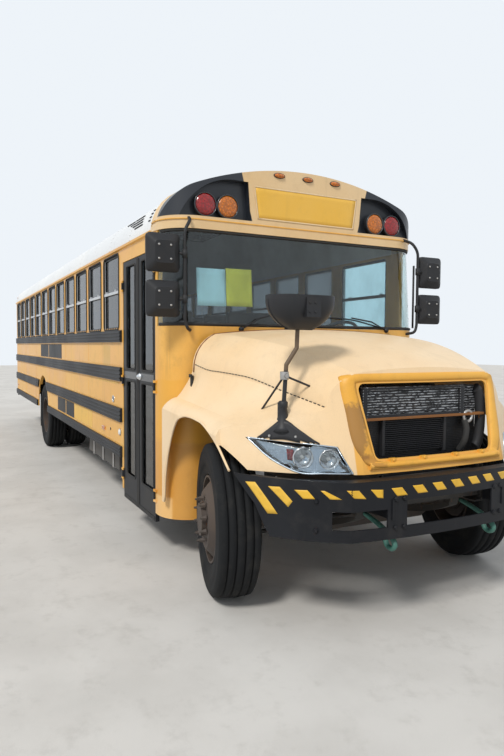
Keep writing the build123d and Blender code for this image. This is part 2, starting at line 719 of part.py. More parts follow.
def tyre_solid(x, y, steer):
    """Tyre with rounded shoulders, hollow down to the rim."""
    plane = wheel_plane(x, y, steer)
    half = tyre_width / 2
    tread = half - 22
    bead = rim_width / 2 - 8
    with BuildSketch(plane) as profile:
        with BuildLine():
            ThreePointArc((-tread, tyre_radius - 12), (0, tyre_radius), (tread, tyre_radius - 12))
            ThreePointArc((tread, tyre_radius - 12), (half - 4, tyre_radius - 50), (half, tyre_radius - 110))
            ThreePointArc((half, tyre_radius - 110), (half - 4, rim_radius + 60), (bead, rim_radius))
            Line((bead, rim_radius), (bead - 20, rim_radius))
            ThreePointArc((bead - 20, rim_radius), (half - 26, rim_radius + 90), (tread - 20, tyre_radius - 32))
            Line((tread - 20, tyre_radius - 32), (-tread + 20, tyre_radius - 32))
            ThreePointArc((-tread + 20, tyre_radius - 32), (-half + 26, rim_radius + 90), (-bead + 20, rim_radius))
            Line((-bead + 20, rim_radius), (-bead, rim_radius))
            ThreePointArc((-bead, rim_radius), (-half + 4, rim_radius + 60), (-half, tyre_radius - 110))
            ThreePointArc((-half, tyre_radius - 110), (-half + 4, tyre_radius - 50), (-tread, tyre_radius - 12))
        make_face()
    revolve(profile.sketch, axis=Axis(plane.origin, plane.x_dir))


def rim_profile(face, dish):
    """Half section of one rim: barrel and dished disc."""
    half = rim_width / 2
    with BuildLine() as barrel:
        Polyline((-half, rim_radius - 1), (-half, rim_radius - 14), (half, rim_radius - 14),
                 (half, rim_radius - 1), close=True)
    make_face(barrel.edges())
    with BuildLine() as disc:
        Polyline((face - 7, hub_radius - 5), (face + 7, hub_radius - 5), (face + 7, disc_bend_radius),
                 (dish + 9, rim_radius - 10), (dish - 9, rim_radius - 10), (face - 7, disc_bend_radius),
                 close=True)
    make_face(disc.edges())


def hub_profile(start, end, bore):
    """Half section of a hub with its brake drum at start and a closed cap at end."""
    out = 1 if end > start else -1
    with BuildLine() as hub:
        Polyline((start, bore), (start, drum_radius), (start + out * drum_length, drum_radius),
                 (start + out * drum_length, hub_radius), (end, hub_radius), (end, 0),
                 (end - out * hub_cap, 0), (end - out * hub_cap, bore), close=True)
    make_face(hub.edges())


def stud_holes(plane, face):
    """Ring of stud holes through the disc."""
    base = Plane(plane.origin + plane.x_dir * face, x_dir=(0, 0, 1), z_dir=plane.x_dir)
    with BuildSketch(base) as studs:
        with PolarLocations(stud_circle_radius, stud_count):
            Circle(stud_hole_radius)
    extrude(studs.sketch, amount=16, both=True, mode=Mode.SUBTRACT)


drum_length = 90.0
hub_cap = 14.0
front_disc_face = 140.0
front_hub_end = 180.0
rear_hub_start = 600.0
rear_hub_end = dual_outer_y
turn = radians(rest_steer)
front_wheels = {}
tyres = {}
rims = {}
for side in SIDES:
    outboard = side * front_wheel_offset
    front_wheels[side] = (front_axle_x - sin(turn) * outboard, side * kingpin_y + cos(turn) * outboard)
    x, y = front_wheels[side]
    with BuildPart() as tyre:
        tyre_solid(x, y, rest_steer)
    tyres["front_" + HAND[side]] = tyre
    with BuildPart() as rim:
        plane = wheel_plane(x, y, rest_steer)
        with BuildSketch(plane):
            rim_profile(side * front_disc_face, side * 60)
            hub_profile(side * (backing_end + 2 - front_wheel_offset), side * front_hub_end,
                        front_spindle_radius + running_fit)
        revolve(axis=Axis(plane.origin, plane.x_dir))
        stud_holes(plane, side * front_disc_face)
    rims["front_" + HAND[side]] = rim
    with BuildPart() as tyre:
        for y in (dual_outer_y, dual_outer_y - dual_spacing):
            tyre_solid(rear_axle_x, side * y, 0)
    tyres["rear_" + HAND[side]] = tyre
    with BuildPart() as rim:
        for y, inward in ((dual_outer_y, -1), (dual_outer_y - dual_spacing, 1)):
            plane = wheel_plane(rear_axle_x, side * y, 0)
            with BuildSketch(plane):
                rim_profile(side * inward * (dual_spacing / 2 - 7), side * inward * 60)
            revolve(axis=Axis(plane.origin, plane.x_dir))
        plane = wheel_plane(rear_axle_x, 0, 0)
        with BuildSketch(plane):
            hub_profile(side * rear_hub_start, side * rear_hub_end, rear_spindle_radius + running_fit)
        revolve(axis=Axis(plane.origin, plane.x_dir))
        stud_holes(plane, side * (dual_outer_y - dual_spacing / 2))
    rims["rear_" + HAND[side]] = rim

# Steering knuckles: kingpin, spindle, backing plate and arm
knuckles = {}
for side in SIDES:
    with BuildPart() as knuckle:
        rod((front_axle_x, side * kingpin_y, axle_z), kingpin_radius, 240, "z")
        boss_z = axle_eye_height / 2 + 3 + 30
        for z in (axle_z - boss_z, axle_z + boss_z):
            rod((front_axle_x, side * kingpin_y, z), 45, 60, "z")
        pin = wheel_plane(front_axle_x, side * kingpin_y, rest_steer)
        out = pin.x_dir * side
        with BuildSketch(Plane(pin.origin, x_dir=(0, 0, 1), z_dir=out)):
            with Locations((boss_z, 0), (-boss_z, 0)):
                Rectangle(60, 80)
        extrude(amount=55)
        with BuildSketch(Plane(pin.origin + out * 52, x_dir=(0, 0, 1), z_dir=out)):
            RectangleRounded(2 * boss_z + 60, 90, 20)
        extrude(amount=backing_end - 62)
        with BuildSketch(Plane(pin.origin + out * (backing_end - 10), x_dir=(0, 0, 1), z_dir=out)):
            Circle(150)
        extrude(amount=10)
        with BuildSketch(Plane(pin.origin + out * (backing_end - 10), x_dir=(0, 0, 1), z_dir=out)):
            Circle(front_spindle_radius)
        extrude(amount=front_wheel_offset + front_hub_end - hub_cap - 6 - backing_end + 10)
        # Steering arm under the lower boss, with the ball stud at its end
        back = Vector(-cos(turn), -sin(turn), 0)
        foot = Vector(front_axle_x, side * kingpin_y, arm_top_z - arm_thickness)
        with BuildSketch(Plane(foot, x_dir=back, z_dir=(0, 0, 1))):
            with Locations((tie_arm / 2, 0)):
                SlotCenterToCenter(tie_arm, 52)
        extrude(amount=arm_thickness)
        stud = foot + back * tie_arm
        strut((stud.X, stud.Y, arm_top_z), (stud.X, stud.Y, tie_z - 22), tie_pin_radius)
    knuckles[side] = knuckle

with BuildPart() as tie_rod:
    tie_x = front_axle_x - tie_arm * cos(turn)
    tie_shift = -tie_arm * sin(turn)
    right_y = -kingpin_y + tie_shift
    left_y = kingpin_y + tie_shift
    rod((tie_x, right_y, tie_z), 26, 32, "z")
    rod((tie_x, left_y, tie_z), 30, 32, "z")
    strut((tie_x, right_y + 20, tie_z), (tie_x, left_y - 22, tie_z), 15)
    rod((tie_x, right_y, tie_z), tie_pin_radius + running_fit, 60, "z", mode=Mode.SUBTRACT)
    rod((tie_x, left_y, tie_z), tie_pin_radius + open_eye_gap, 60, "z", mode=Mode.SUBTRACT)

# Hood: lofted skin with both fenders, cut to its plan and open underneath
HoodSection = namedtuple("HoodSection", "x crown_z corner_y corner_z bend_y bend_z seam_y seam_z flare_y flare_z")
hood_sections = (
    HoodSection(4000.0, 1812.0, 930.0, 1768.0, 1020.0, 1700.0, 1066.0, 1500.0, 1130.0, 1290.0),
    HoodSection(4700.0, 1786.0, 810.0, 1735.0, 905.0, 1668.0, 985.0, 1475.0, 1130.0, 1250.0),
    HoodSection(5330.0, 1672.0, 640.0, 1620.0, 735.0, 1545.0, 800.0, 1380.0, 1100.0, 1190.0),
    HoodSection(5880.0, 1440.0, 470.0, 1410.0, 560.0, 1350.0, 640.0, 1230.0, 1060.0, 1130.0),
)
fender_y = 1230.0
fender_drop = 90.0
hood_rear_x = cowl_x + 50.0
hood_skin = 14.0
hood_foot_z = 480.0
hood_lip_z = 930.0
hood_lean = 0.24
hood_clearance = 10.0


def hood_loft(skin, foot_z, mode=Mode.ADD):
    """Hood and fender outline lofted from back to front."""
    sections = []
    for row in hood_sections:
        y = [0, row.corner_y - skin * 0.4, row.bend_y - skin * 0.7, row.seam_y - skin * 0.9,
             row.flare_y - skin * 0.5, fender_y - skin]
        z = [row.crown_z - skin, row.corner_z - skin, row.bend_z - skin * 0.7, row.seam_z - skin * 0.5,
             row.flare_z - skin * 0.8, row.flare_z - fender_drop]
        with BuildSketch(Plane.YZ.offset(row.x)) as section:
            with BuildLine():
                Line((-y[5], foot_z), (y[5], foot_z))
                Line((y[5], foot_z), (y[5], z[5]))
                ThreePointArc((y[5], z[5]), ((y[5] + y[4]) / 2 + 12, (z[5] + z[4]) / 2 + 12), (y[4], z[4]))
                ThreePointArc((y[4], z[4]), ((y[4] + y[3]) / 2 - 14, (z[4] + z[3]) / 2 - 14), (y[3], z[3]))
                ThreePointArc((y[3], z[3]), (y[2], z[2]), (y[1], z[1]))
                ThreePointArc((y[1], z[1]), (0, z[0]), (-y[1], z[1]))
                ThreePointArc((-y[1], z[1]), (-y[2], z[2]), (-y[3], z[3]))
                ThreePointArc((-y[3], z[3]), (-(y[4] + y[3]) / 2 + 14, (z[4] + z[3]) / 2 - 14), (-y[4], z[4]))
                ThreePointArc((-y[4], z[4]), (-(y[5] + y[4]) / 2 - 12, (z[5] + z[4]) / 2 + 12), (-y[5], z[5]))
                Line((-y[5], z[5]), (-y[5], foot_z))
            make_face()
        sections.append(section.sketch)
    loft(sections, mode=mode)


def hood_plan(shift):
    """Hood outline in plan, moved back by shift at its front."""
    nose = front_x - 105.0 - shift
    with BuildLine() as outline:
        Line((door_front_x - 200, -1260), (nose - 590, -1260))
        Line((nose - 590, -1260), (nose - 590, -1200))
        ThreePointArc((nose - 590, -1200), (nose - 225, -880), (nose - 30, -560))
        ThreePointArc((nose - 30, -560), (nose, 0), (nose - 30, 560))
        ThreePointArc((nose - 30, 560), (nose - 225, 880), (nose - 590, 1200))
        Line((nose - 590, 1200), (nose - 590, 1260))
        Line((nose - 590, 1260), (door_front_x - 200, 1260))
        Line((door_front_x - 200, 1260), (door_front_x - 200, -1260))
    make_face(outline.edges())


def hood_prism(skin, mode):
    """Leaning front of the hood, from low in the arches to over the crown."""
    z0, z1 = 400.0, 1900.0
    with BuildSketch(Plane.XY.offset(z0)) as low:
        hood_plan(skin + hood_lean * (z0 - hood_lip_z))
    with BuildSketch(Plane.XY.offset(z1)) as high:
        hood_plan(skin + hood_lean * (z1 - hood_lip_z))
    loft([low.sketch, high.sketch], ruled=True, mode=mode)


tube_radius = 22.0
tube_z = 976.0
tube_x = front_x - 117.0
tube_sweep = 20.0

with BuildPart() as hood_inner:
    hood_loft(hood_skin, hood_foot_z - 20)
    hood_prism(hood_skin, Mode.INTERSECT)

with BuildPart() as hood_outer:
    hood_loft(0, hood_foot_z)
    hood_prism(0, Mode.INTERSECT)

with BuildPart() as hood:
    add(hood_outer.part)
    add(hood_inner.part, mode=Mode.SUBTRACT)
    # Rear edge and the wheel openings, seen from the side
    axle = front_axle_x
    with BuildSketch(Plane.XZ.offset(1400)):
        with BuildLine():
            Polyline((axle - 1200, 300), (axle - 735, 300), (axle - 735, hood_foot_z))
            ThreePointArc((axle - 735, hood_foot_z), (axle - 665, 850), (axle - 455, 1140))
            ThreePointArc((axle - 455, 1140), (axle - 210, 1185), (axle + 40, 1158))
            ThreePointArc((axle + 40, 1158), (axle + 240, 1070), (axle + 430, hood_lip_z))
            Polyline((axle + 430, hood_lip_z), (axle + 430, 300), (axle + 1200, 300), (axle + 1200, 200),
                     (axle - 1200, 200), (axle - 1200, 300))
        make_face()
    extrude(amount=-2800, mode=Mode.SUBTRACT)
    block(axle + 300, front_x, -1300, 1300, 200, hood_lip_z, mode=Mode.SUBTRACT)
    front_solid(door_front_x - 300, 200, 1900, -hood_clearance, mode=Mode.SUBTRACT)
    block(door_front_x - 300, hood_rear_x, -980, 980, 200, 1900, mode=Mode.SUBTRACT)
    with BuildSketch(Plane.XZ.offset(1400)):
        with BuildLine():
            Polyline((hood_rear_x, 1900), (hood_rear_x, 1480), (axle - 775, 1180), (axle - 775, 200),
                     (axle - 1500, 200), (axle - 1500, 1900), close=True)
        make_face()
    extrude(amount=-2800, mode=Mode.SUBTRACT)
    # Grille opening
    with BuildSketch(Plane.YZ.offset(front_x - 600)):
        with BuildLine():
            Polyline((-530, 1450), (530, 1450), (465, 1010), (-465, 1010), close=True)
        make_face()
        fillet(vertices(), 40)
    extrude(amount=700, mode=Mode.SUBTRACT)
    # Lower tube of the grille and the hinge lugs behind it
    bent_tube(((tube_x - tube_sweep, -520, tube_z), (tube_x, -260, tube_z), (tube_x, 260, tube_z),
               (tube_x - tube_sweep, 520, tube_z)), tube_radius)
    for side in SIDES:
        rod((hood_hinge_x, side * (lug_y + lug_thickness / 2), hood_hinge_z), hinge_eye_radius, lug_thickness, "y")
        block(hood_hinge_x, hood_hinge_x + 31, side * lug_y, side * (lug_y + lug_thickness), hood_hinge_z + 2,
              hood_lip_z + 45)
        rod((hood_hinge_x, side * lug_y, hood_hinge_z), hinge_pin_radius + running_fit, 60, "y",
            mode=Mode.SUBTRACT)

# Headlights: teardrops set into the corners of the hood
headlight_depth = 60.0
headlight_outline = ((1098.0, 1123.0), (677.0, 1088.0), (612.0, hood_lip_z), (880.0, hood_lip_z),
                     (1000.0, 1000.0))


def headlight_prism(mode):
    """Front view outline of both headlights, run through the hood corners."""
    for side in SIDES:
        with BuildSketch(Plane.YZ.offset(5250)) as front_view:
            with BuildLine() as outline:
                Polyline(*[(side * y, z) for y, z in headlight_outline], close=True)
            make_face(outline.edges())
        extrude(front_view.sketch, amount=700, mode=mode)


with BuildPart() as headlight_core:
    hood_loft(headlight_depth, hood_foot_z - 20)
    hood_prism(headlight_depth, Mode.INTERSECT)

with BuildPart() as headlights:
    headlight_prism(Mode.ADD)
    add(hood_outer.part, mode=Mode.INTERSECT)
    add(headlight_core.part, mode=Mode.SUBTRACT)

with hood:
    headlight_prism(Mode.SUBTRACT)

# Radiator pack, engine and gearbox
radiator_top_z = 1420.0
with BuildPart() as radiator:
    block(front_x - 380, front_x - 300, -480, 480, rail_top_z + seat_gap, radiator_top_z)
    block(front_x - 380, front_x - 300, -340, 340, 720, rail_top_z + seat_gap)
with BuildPart() as engine_block:
    block(4420, front_x - 520, -330, 330, 700, radiator_top_z)
    block(gearbox_x, 4420, -190, 190, 560, 940)

# Lamps
with BuildPart() as warning_lamps:
    for side in SIDES:
        for y in (900.0, 712.0):
            rod((cap_front_x + cap_proud - pocket_depth + 22, side * y, 2750), 89, 44, "x")
            rod((rear_wall_x - 15, side * (y - 40), 2700), 89, 30, "x")

with BuildPart() as marker_lamps:
    for y in (-269.0, 0.0, 269.0):
        block(cap_front_x + cap_proud, cap_front_x + cap_proud + 22, y - 45, y + 45, 3020, 3055)
    for y in (-250.0, 0.0, 250.0):
        block(rear_wall_x - 20, rear_wall_x, y - 45, y + 45, 2880, 2915)

with BuildPart() as tail_lamps:
    for side in SIDES:
        rod((rear_wall_x - 14, side * 940, 1330), 89, 28, "x")
        rod((rear_wall_x - 14, side * 740, 1330), 89, 28, "x")
        rod((rear_wall_x - 14, side * 940, 1130), 50, 28, "x")

# Outside mirrors: square heads with pyramid backs on a tubular loop
mirror_x = cowl_x + 45.0
mirror_tube_y = 1111.0
mirror_tube_radius = 14.0
head_inner_y = 1145.0
head_outer_y = 1400.0
head_rim = 30.0
head_depth = 75.0
head_flat_share = 0.58
MirrorHead = namedtuple("MirrorHead", "bottom_z top_z")
mirror_heads = (MirrorHead(2205.0, 2485.0), MirrorHead(1880.0, 2145.0))


def mirror_head(side, row):
    """One square head: straight rim, then a pyramid back that faces forward."""
    glass_x = mirror_x - 45
    mid_y = side * (head_inner_y + head_outer_y) / 2
    mid_z = (row.bottom_z + row.top_z) / 2
    wide = head_outer_y - head_inner_y
    tall = row.top_z - row.bottom_z
    block(glass_x, glass_x + head_rim, side * head_inner_y, side * head_outer_y, row.bottom_z, row.top_z)
    with BuildSketch(Plane.YZ.offset(glass_x + head_rim)) as rim:
        with Locations((mid_y, mid_z)):
            Rectangle(wide, tall)
    with BuildSketch(Plane.YZ.offset(glass_x + head_depth)) as flat:
        with Locations((mid_y, mid_z)):
            Rectangle(wide * head_flat_share, tall * head_flat_share)
    loft([rim.sketch, flat.sketch], ruled=True)
    strut((mirror_x, side * mirror_tube_y, mid_z), (mirror_x, side * (head_inner_y + 5), mid_z), 12)


with BuildPart() as side_mirrors:
    for side in SIDES:
        for row in mirror_heads:
            mirror_head(side, row)
        bent_tube(((mirror_x - 140, side * (mirror_tube_y - 16), 2610), (mirror_x, side * mirror_tube_y, 2500),
                   (mirror_x, side * mirror_tube_y, 1800), (mirror_x - 120, side * 1010, 1785)),
                  mirror_tube_radius)
    front_solid(door_front_x - 100, eave_z, roof_top_z, -cap_proud - seat_gap, windshield_lean,
                mode=Mode.SUBTRACT)
    front_solid(door_front_x - 100, cowl_bottom_z, windshield_bottom_z, -seat_gap, mode=Mode.SUBTRACT)

# Cross-view mirror on the right: an oval bowl, flat side up, on a bent arm braced to the hood
dome_x = front_x - 450.0
dome_y = 808.0
dome_bottom_z = 1772.0
DomeSection = namedtuple("DomeSection", "z width depth")
dome_sections = (
    DomeSection(dome_bottom_z, 170.0, 80.0),
    DomeSection(dome_bottom_z + 86.0, 390.0, 212.0),
    DomeSection(dome_bottom_z + 196.0, 440.0, 250.0),
)
arm_foot_x = front_x - 470.0
arm_foot_y = 917.0
arm_radius = 13.0
brace_radius = 6.5
cross_view_sides = (-1,)
clamp = (front_x - 464.0, 905.0, 1495.0)
brace_ends = ((front_x - 450.0, 606.0, 1380.0), (front_x - 700.0, 955.0, 1240.0))
foot_outline = ((5300.0, 1075.0), (5400.0, 1010.0), (5500.0, 900.0), (5600.0, 780.0), (5655.0, 655.0),
                (5550.0, 720.0), (5430.0, 850.0), (5330.0, 990.0))
FootSection = namedtuple("FootSection", "z share")
foot_sections = (FootSection(1050.0, -0.15), FootSection(1150.0, 0.25), FootSection(1215.0, 0.8))
foot_top_z = foot_sections[-1].z
cone_top_z = 1335.0

with BuildPart() as hood_mirror:
    for side in cross_view_sides:
        rings = []
        for row in dome_sections:
            with BuildSketch(Plane.XY.offset(row.z)) as ring:
                with Locations(Location((dome_x, side * dome_y, 0), 90)):
                    SlotOverall(row.width, row.depth)
            rings.append(ring.sketch)
        loft(rings)
        bent_tube(((dome_x, side * 825, dome_bottom_z + 20), (dome_x, side * 830, 1660),
                   (arm_foot_x + 10, side * 895, 1560), (arm_foot_x, side * arm_foot_y, 1130)), arm_radius)
        rod((clamp[0], side * clamp[1], clamp[2]), 24, 40, "z")
        for x, y, z in brace_ends:
            strut((clamp[0], side * clamp[1], clamp[2]), (x, side * y, z), brace_radius)
        rings = []
        for row in foot_sections:
            with BuildSketch(Plane.XY.offset(row.z)) as ring:
                with BuildLine() as outline:
                    Polyline(*[(x + (arm_foot_x - x) * row.share, side * (y + (arm_foot_y - y) * row.share))
                               for x, y in foot_outline], close=True)
                make_face(outline.edges())
            rings.append(ring.sketch)
        loft(rings, ruled=True)
        rod((arm_foot_x, side * arm_foot_y, (foot_top_z + cone_top_z) / 2), 26, cone_top_z - foot_top_z, "z")
    add(hood_outer.part, mode=Mode.SUBTRACT)

# Seats, driver's seat and dashboard
seat_rows = 12
seat_pitch = 690.0
first_seat_x = 2650.0
with BuildPart() as bench_seats:
    for side in SIDES:
        for i in range(seat_rows):
            x = first_seat_x - i * seat_pitch
            block(x - 400, x, side * 205, side * 1160, floor_top_z + 310, floor_top_z + 450)
            block(x - 500, x - 400, side * 205, side * 1160, floor_top_z + 310, floor_top_z + 1020)

with BuildPart() as seat_frames:
    for side in SIDES:
        for i in range(seat_rows):
            x = first_seat_x - i * seat_pitch
            for y in (260.0, 500.0):
                block(x - 420, x - 390, side * y, side * (y + 30), floor_top_z, floor_top_z + 310)
                block(x - 80, x - 50, side * y, side * (y + 30), floor_top_z, floor_top_z + 310)
            block(x - 420, x - 50, side * 260, side * 530, floor_top_z + 290, floor_top_z + 310)

with BuildPart() as driver_seat:
    block(3150, 3600, 350, 850, floor_top_z + 300, floor_top_z + 420)
    block(3080, 3180, 350, 850, floor_top_z + 420, floor_top_z + 1050)
    block(3280, 3480, 500, 700, floor_top_z, floor_top_z + 300)

dash_x = door_front_x + 2
with BuildPart() as dashboard:
    block(dash_x, cowl_x - wall, -inner_half + 240, inner_half - 240, 1400, 1700)

# Steering wheel on its column
with BuildPart() as steering_wheel:
    hub = (3790.0, 600.0, 1760.0)
    foot = (4060.0, 600.0, 1400.0 + floor_top_z - 1040.0)
    lean = Plane(origin=hub, z_dir=(hub[0] - foot[0], 0, hub[2] - foot[2]))
    with BuildSketch(Plane(origin=lean.origin, x_dir=lean.x_dir, z_dir=lean.y_dir)):
        with Locations((225, 0)):
            Circle(15)
    revolve(axis=Axis(lean.origin, lean.z_dir))
    for angle in (90.0, 210.0, 330.0):
        ray = lean.x_dir * cos(radians(angle)) + lean.y_dir * sin(radians(angle))
        tip = lean.origin + ray * 222
        strut(hub, (tip.X, tip.Y, tip.Z), 9)
    strut(hub, foot, 30)
    block(dash_x - seat_gap, cowl_x, 500, 700, 1300, 1800, mode=Mode.SUBTRACT)

# Stop arm on the left side: fixed bracket with its pin, and the octagon that swings out
stop_x = 2560.0
stop_z = 1580.0
stop_flat = 228.0
stop_hinge_x = stop_x + stop_flat + 40
stop_hinge_y = half_width + 46
stop_pin_radius = 8.0
with BuildPart() as stop_arm_bracket:
    block(stop_hinge_x + 24, stop_hinge_x + 94, half_width + seat_gap, half_width + 72, stop_z - 100,
          stop_z + 100)
    for z in (stop_z - 90, stop_z + 60):
        block(stop_hinge_x - 12, stop_hinge_x + 30, stop_hinge_y - 12, stop_hinge_y + 12, z, z + 30)
    rod((stop_hinge_x, stop_hinge_y, stop_z), stop_pin_radius, 170, "z")

with BuildPart() as stop_arm:
    with BuildSketch(Plane.XZ.offset(-(stop_hinge_y + 4))):
        with Locations(Location((stop_x, stop_z), 22.5)):
            RegularPolygon(stop_flat / cos(radians(22.5)), 8)
        with Locations(((stop_x + stop_hinge_x) / 2 + 100, stop_z)):
            Rectangle(stop_hinge_x - stop_x - 200, 100)
    extrude(amount=8)
    rod((stop_hinge_x, stop_hinge_y, stop_z), 18, 100, "z")
    rod((stop_hinge_x, stop_hinge_y, stop_z), stop_pin_radius + running_fit, 120, "z", mode=Mode.SUBTRACT)

# Fuel tank and exhaust
with BuildPart() as fuel_tank:
    block(1100, 2500, -1120, -rail_outer_y - seat_gap, 400, 840)
with BuildPart() as exhaust:
    pipe_y = 250.0
    pipe_z = 640.0
    rod((500, pipe_y, pipe_z - 50), 95, 1200, "x")
    bent_tube(((4500, pipe_y, 700 - seat_gap), (4500, pipe_y, pipe_z), (-5450, pipe_y, pipe_z),
               (-5890, pipe_y, 480)), 42)

finished = {
    "side_wall_right": side_wall_right, "side_wall_left": side_wall_left, "roof": roof,
    "front_header": front_header, "front_cowl": front_cowl, "windshield": windshield,
    "rear_wall": rear_wall, "body_floor": body_floor, "step_well": step_well, "rub_rails": rub_rails,
    "window_sashes": window_sashes, "window_glass": window_glass, "door_front_leaf": door_front_leaf,
    "door_front_glass": door_front_glass, "door_rear_leaf": door_rear_leaf,
    "door_rear_glass": door_rear_glass, "rear_door": rear_door, "rear_door_glass": rear_door_glass,
    "hatch_kerbs": hatch_kerbs, "roof_hatch_front": roof_hatch_front, "roof_hatch_rear": roof_hatch_rear,
    "chassis_frame": chassis_frame, "front_bumper": front_bumper, "rear_bumper": rear_bumper,
    "front_axle": front_axle, "rear_axle": rear_axle, "leaf_springs": leaf_springs, "hood": hood,
    "radiator": radiator, "engine_block": engine_block, "warning_lamps": warning_lamps,
    "side_mirrors": side_mirrors, "hood_mirror": hood_mirror, "bench_seats": bench_seats,
    "seat_frames": seat_frames, "driver_seat": driver_seat, "dashboard": dashboard, "stop_arm": stop_arm,
    "fuel_tank": fuel_tank, "exhaust": exhaust, "tie_rod": tie_rod, "headlights": headlights,
    "marker_lamps": marker_lamps, "tail_lamps": tail_lamps, "steering_wheel": steering_wheel,
    "stop_arm_bracket": stop_arm_bracket,
}
for place, tyre in tyres.items():
    finished["tyre_" + place] = tyre
for place, rim in rims.items():
    finished["rim_" + place] = rim
for side, knuckle in knuckles.items():
    finished["knuckle_" + HAND[side]] = knuckle

os.makedirs("parts", exist_ok=True)
for name, piece in finished.items():
    piece.part.label = name
    export_step(piece.part, f"parts/{name}.step")
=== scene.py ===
"""School bus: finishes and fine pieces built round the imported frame. Metres, +X forward, +Y left, +Z up."""
import logging
import math
from dataclasses import dataclass
from enum import Enum
from typing import Iterable, Sequence

import bmesh
import bpy
from mathutils import Matrix, Vector
from mathutils.bvhtree import BVHTree


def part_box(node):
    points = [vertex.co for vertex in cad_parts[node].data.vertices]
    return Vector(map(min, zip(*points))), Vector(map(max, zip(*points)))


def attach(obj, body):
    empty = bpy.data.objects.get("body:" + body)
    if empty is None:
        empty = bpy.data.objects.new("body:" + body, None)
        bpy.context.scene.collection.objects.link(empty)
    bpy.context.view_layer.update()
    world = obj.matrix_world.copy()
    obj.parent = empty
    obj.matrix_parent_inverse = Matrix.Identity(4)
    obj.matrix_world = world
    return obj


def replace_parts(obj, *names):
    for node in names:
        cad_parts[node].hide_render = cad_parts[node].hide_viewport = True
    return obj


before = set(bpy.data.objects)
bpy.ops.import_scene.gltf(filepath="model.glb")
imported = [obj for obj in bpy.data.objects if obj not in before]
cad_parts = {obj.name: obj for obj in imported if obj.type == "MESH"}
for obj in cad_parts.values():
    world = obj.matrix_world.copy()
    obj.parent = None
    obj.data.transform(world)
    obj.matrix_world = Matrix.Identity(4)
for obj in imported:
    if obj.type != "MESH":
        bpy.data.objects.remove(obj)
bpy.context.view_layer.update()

LOG = logging.getLogger("school_bus")
Point = tuple[float, float, float]
Colour = tuple[float, float, float]
Path = Sequence[Sequence[float]]
Pairs = tuple[tuple[float, float], ...]
Socket = bpy.types.NodeSocket
Node = bpy.types.Node
Tree = bpy.types.NodeTree
SIDES = (1, -1)
HAND = {1: "left", -1: "right"}
BODY = "bus_body"
REARWARD = (-1.0, 0.0, 0.0)
AHEAD_X = 6.3

HALF_WIDTH = 1.219
DOOR_FRONT = 3.978
DOOR_REAR = 3.03
REAR_WALL = -5.8
SIDE_REAR = -5.68
FRONT_AXLE = 4.945
REAR_AXLE = -1.955
AXLE_Z = 0.512
STEER = math.radians(-13.6)
WINDOW_Z = 2.1745
WINDOW_HALF = 0.3585


# Node trees


class NodeGraph:
    """Lays nodes and links in one tree."""

    def __init__(self, tree: Tree) -> None:
        """Args: tree: the tree to fill."""
        self.tree = tree

    def add(self, kind: str, **settings: object) -> Node:
        """Adds one node.

        Args:
            kind: the node's type name.
            settings: attributes to set on it.

        Returns:
            The new node.
        """
        node = self.tree.nodes.new(kind)
        for key, value in settings.items():
            setattr(node, key, value)
        return node

    def feed(self, socket: Socket, value: object) -> None:
        """Links a socket or sets a plain value on an input."""
        if isinstance(value, Socket):
            self.tree.links.new(value, socket)
        elif isinstance(value, (tuple, list)) and len(value) == 3 and socket.type == "RGBA":
            socket.default_value = (*value, 1.0)
        else:
            socket.default_value = value

    def wire(self, node: Node, values: dict[str, object]) -> Node:
        """Feeds a node's inputs by name and returns the node."""
        for name, value in values.items():
            self.feed(node.inputs[name], value)
        return node

    def math(self, operation: str, a: object, b: object = 0.0, clamp: bool = False) -> Socket:
        """Returns the output of a math node on a and b."""
        node = self.add("ShaderNodeMath", operation=operation, use_clamp=clamp)
        self.feed(node.inputs[0], a)
        self.feed(node.inputs[1], b)
        return node.outputs[0]

    def times(self, a: object, b: object, clamp: bool = False) -> Socket:
        """Returns a times b."""
        return self.math("MULTIPLY", a, b, clamp)

    def plus(self, a: object, b: object) -> Socket:
        """Returns a plus b."""
        return self.math("ADD", a, b)

    def mix(self, factor: object, a: object, b: object, blend: str = "MIX") -> Socket:
        """Returns colour a mixed with colour b by factor."""
        node = self.add("ShaderNodeMix", data_type="RGBA", blend_type=blend)
        self.feed(node.inputs["Factor"], factor)
        self.feed(node.inputs[6], a)
        self.feed(node.inputs[7], b)
        return node.outputs[2]

    def noise(self, vector: object, scale: float, detail: float = 3.0, rough: float = 0.55) -> Socket:
        """Returns the value of a noise texture."""
        values = {"Vector": vector, "Scale": scale, "Detail": detail, "Roughness": rough}
        return self.wire(self.add("ShaderNodeTexNoise"), values).outputs["Fac"]

    def ramp(self, value: object, low: object, high: object, start: float = 0.0, end: float = 1.0) -> Socket:
        """Returns a smooth step of value from low to high."""
        node = self.add("ShaderNodeMapRange", interpolation_type="SMOOTHSTEP")
        for index, item in enumerate((value, low, high, start, end)):
            self.feed(node.inputs[index], item)
        return node.outputs[0]

    def place(self, scale: Point = (1.0, 1.0, 1.0), offset: Point = (0.0, 0.0, 0.0)) -> Socket:
        """Returns Object coordinates scaled and moved."""
        here = self.add("ShaderNodeTexCoord").outputs["Object"]
        values = {"Scale": scale, "Location": offset, "Vector": here}
        return self.wire(self.add("ShaderNodeMapping"), values).outputs[0]

    def axes(self, vector: Socket | None = None) -> list[Socket]:
        """Returns x, y and z of a vector, or else of the Object coordinates."""
        node = self.add("ShaderNodeSeparateXYZ")
        self.feed(node.inputs[0], self.place() if vector is None else vector)
        return list(node.outputs)

    def bump(self, height: object, strength: float, distance: float) -> Socket:
        """Returns the normal that a height gives."""
        values = {"Strength": strength, "Distance": distance, "Height": height}
        return self.wire(self.add("ShaderNodeBump"), values).outputs[0]


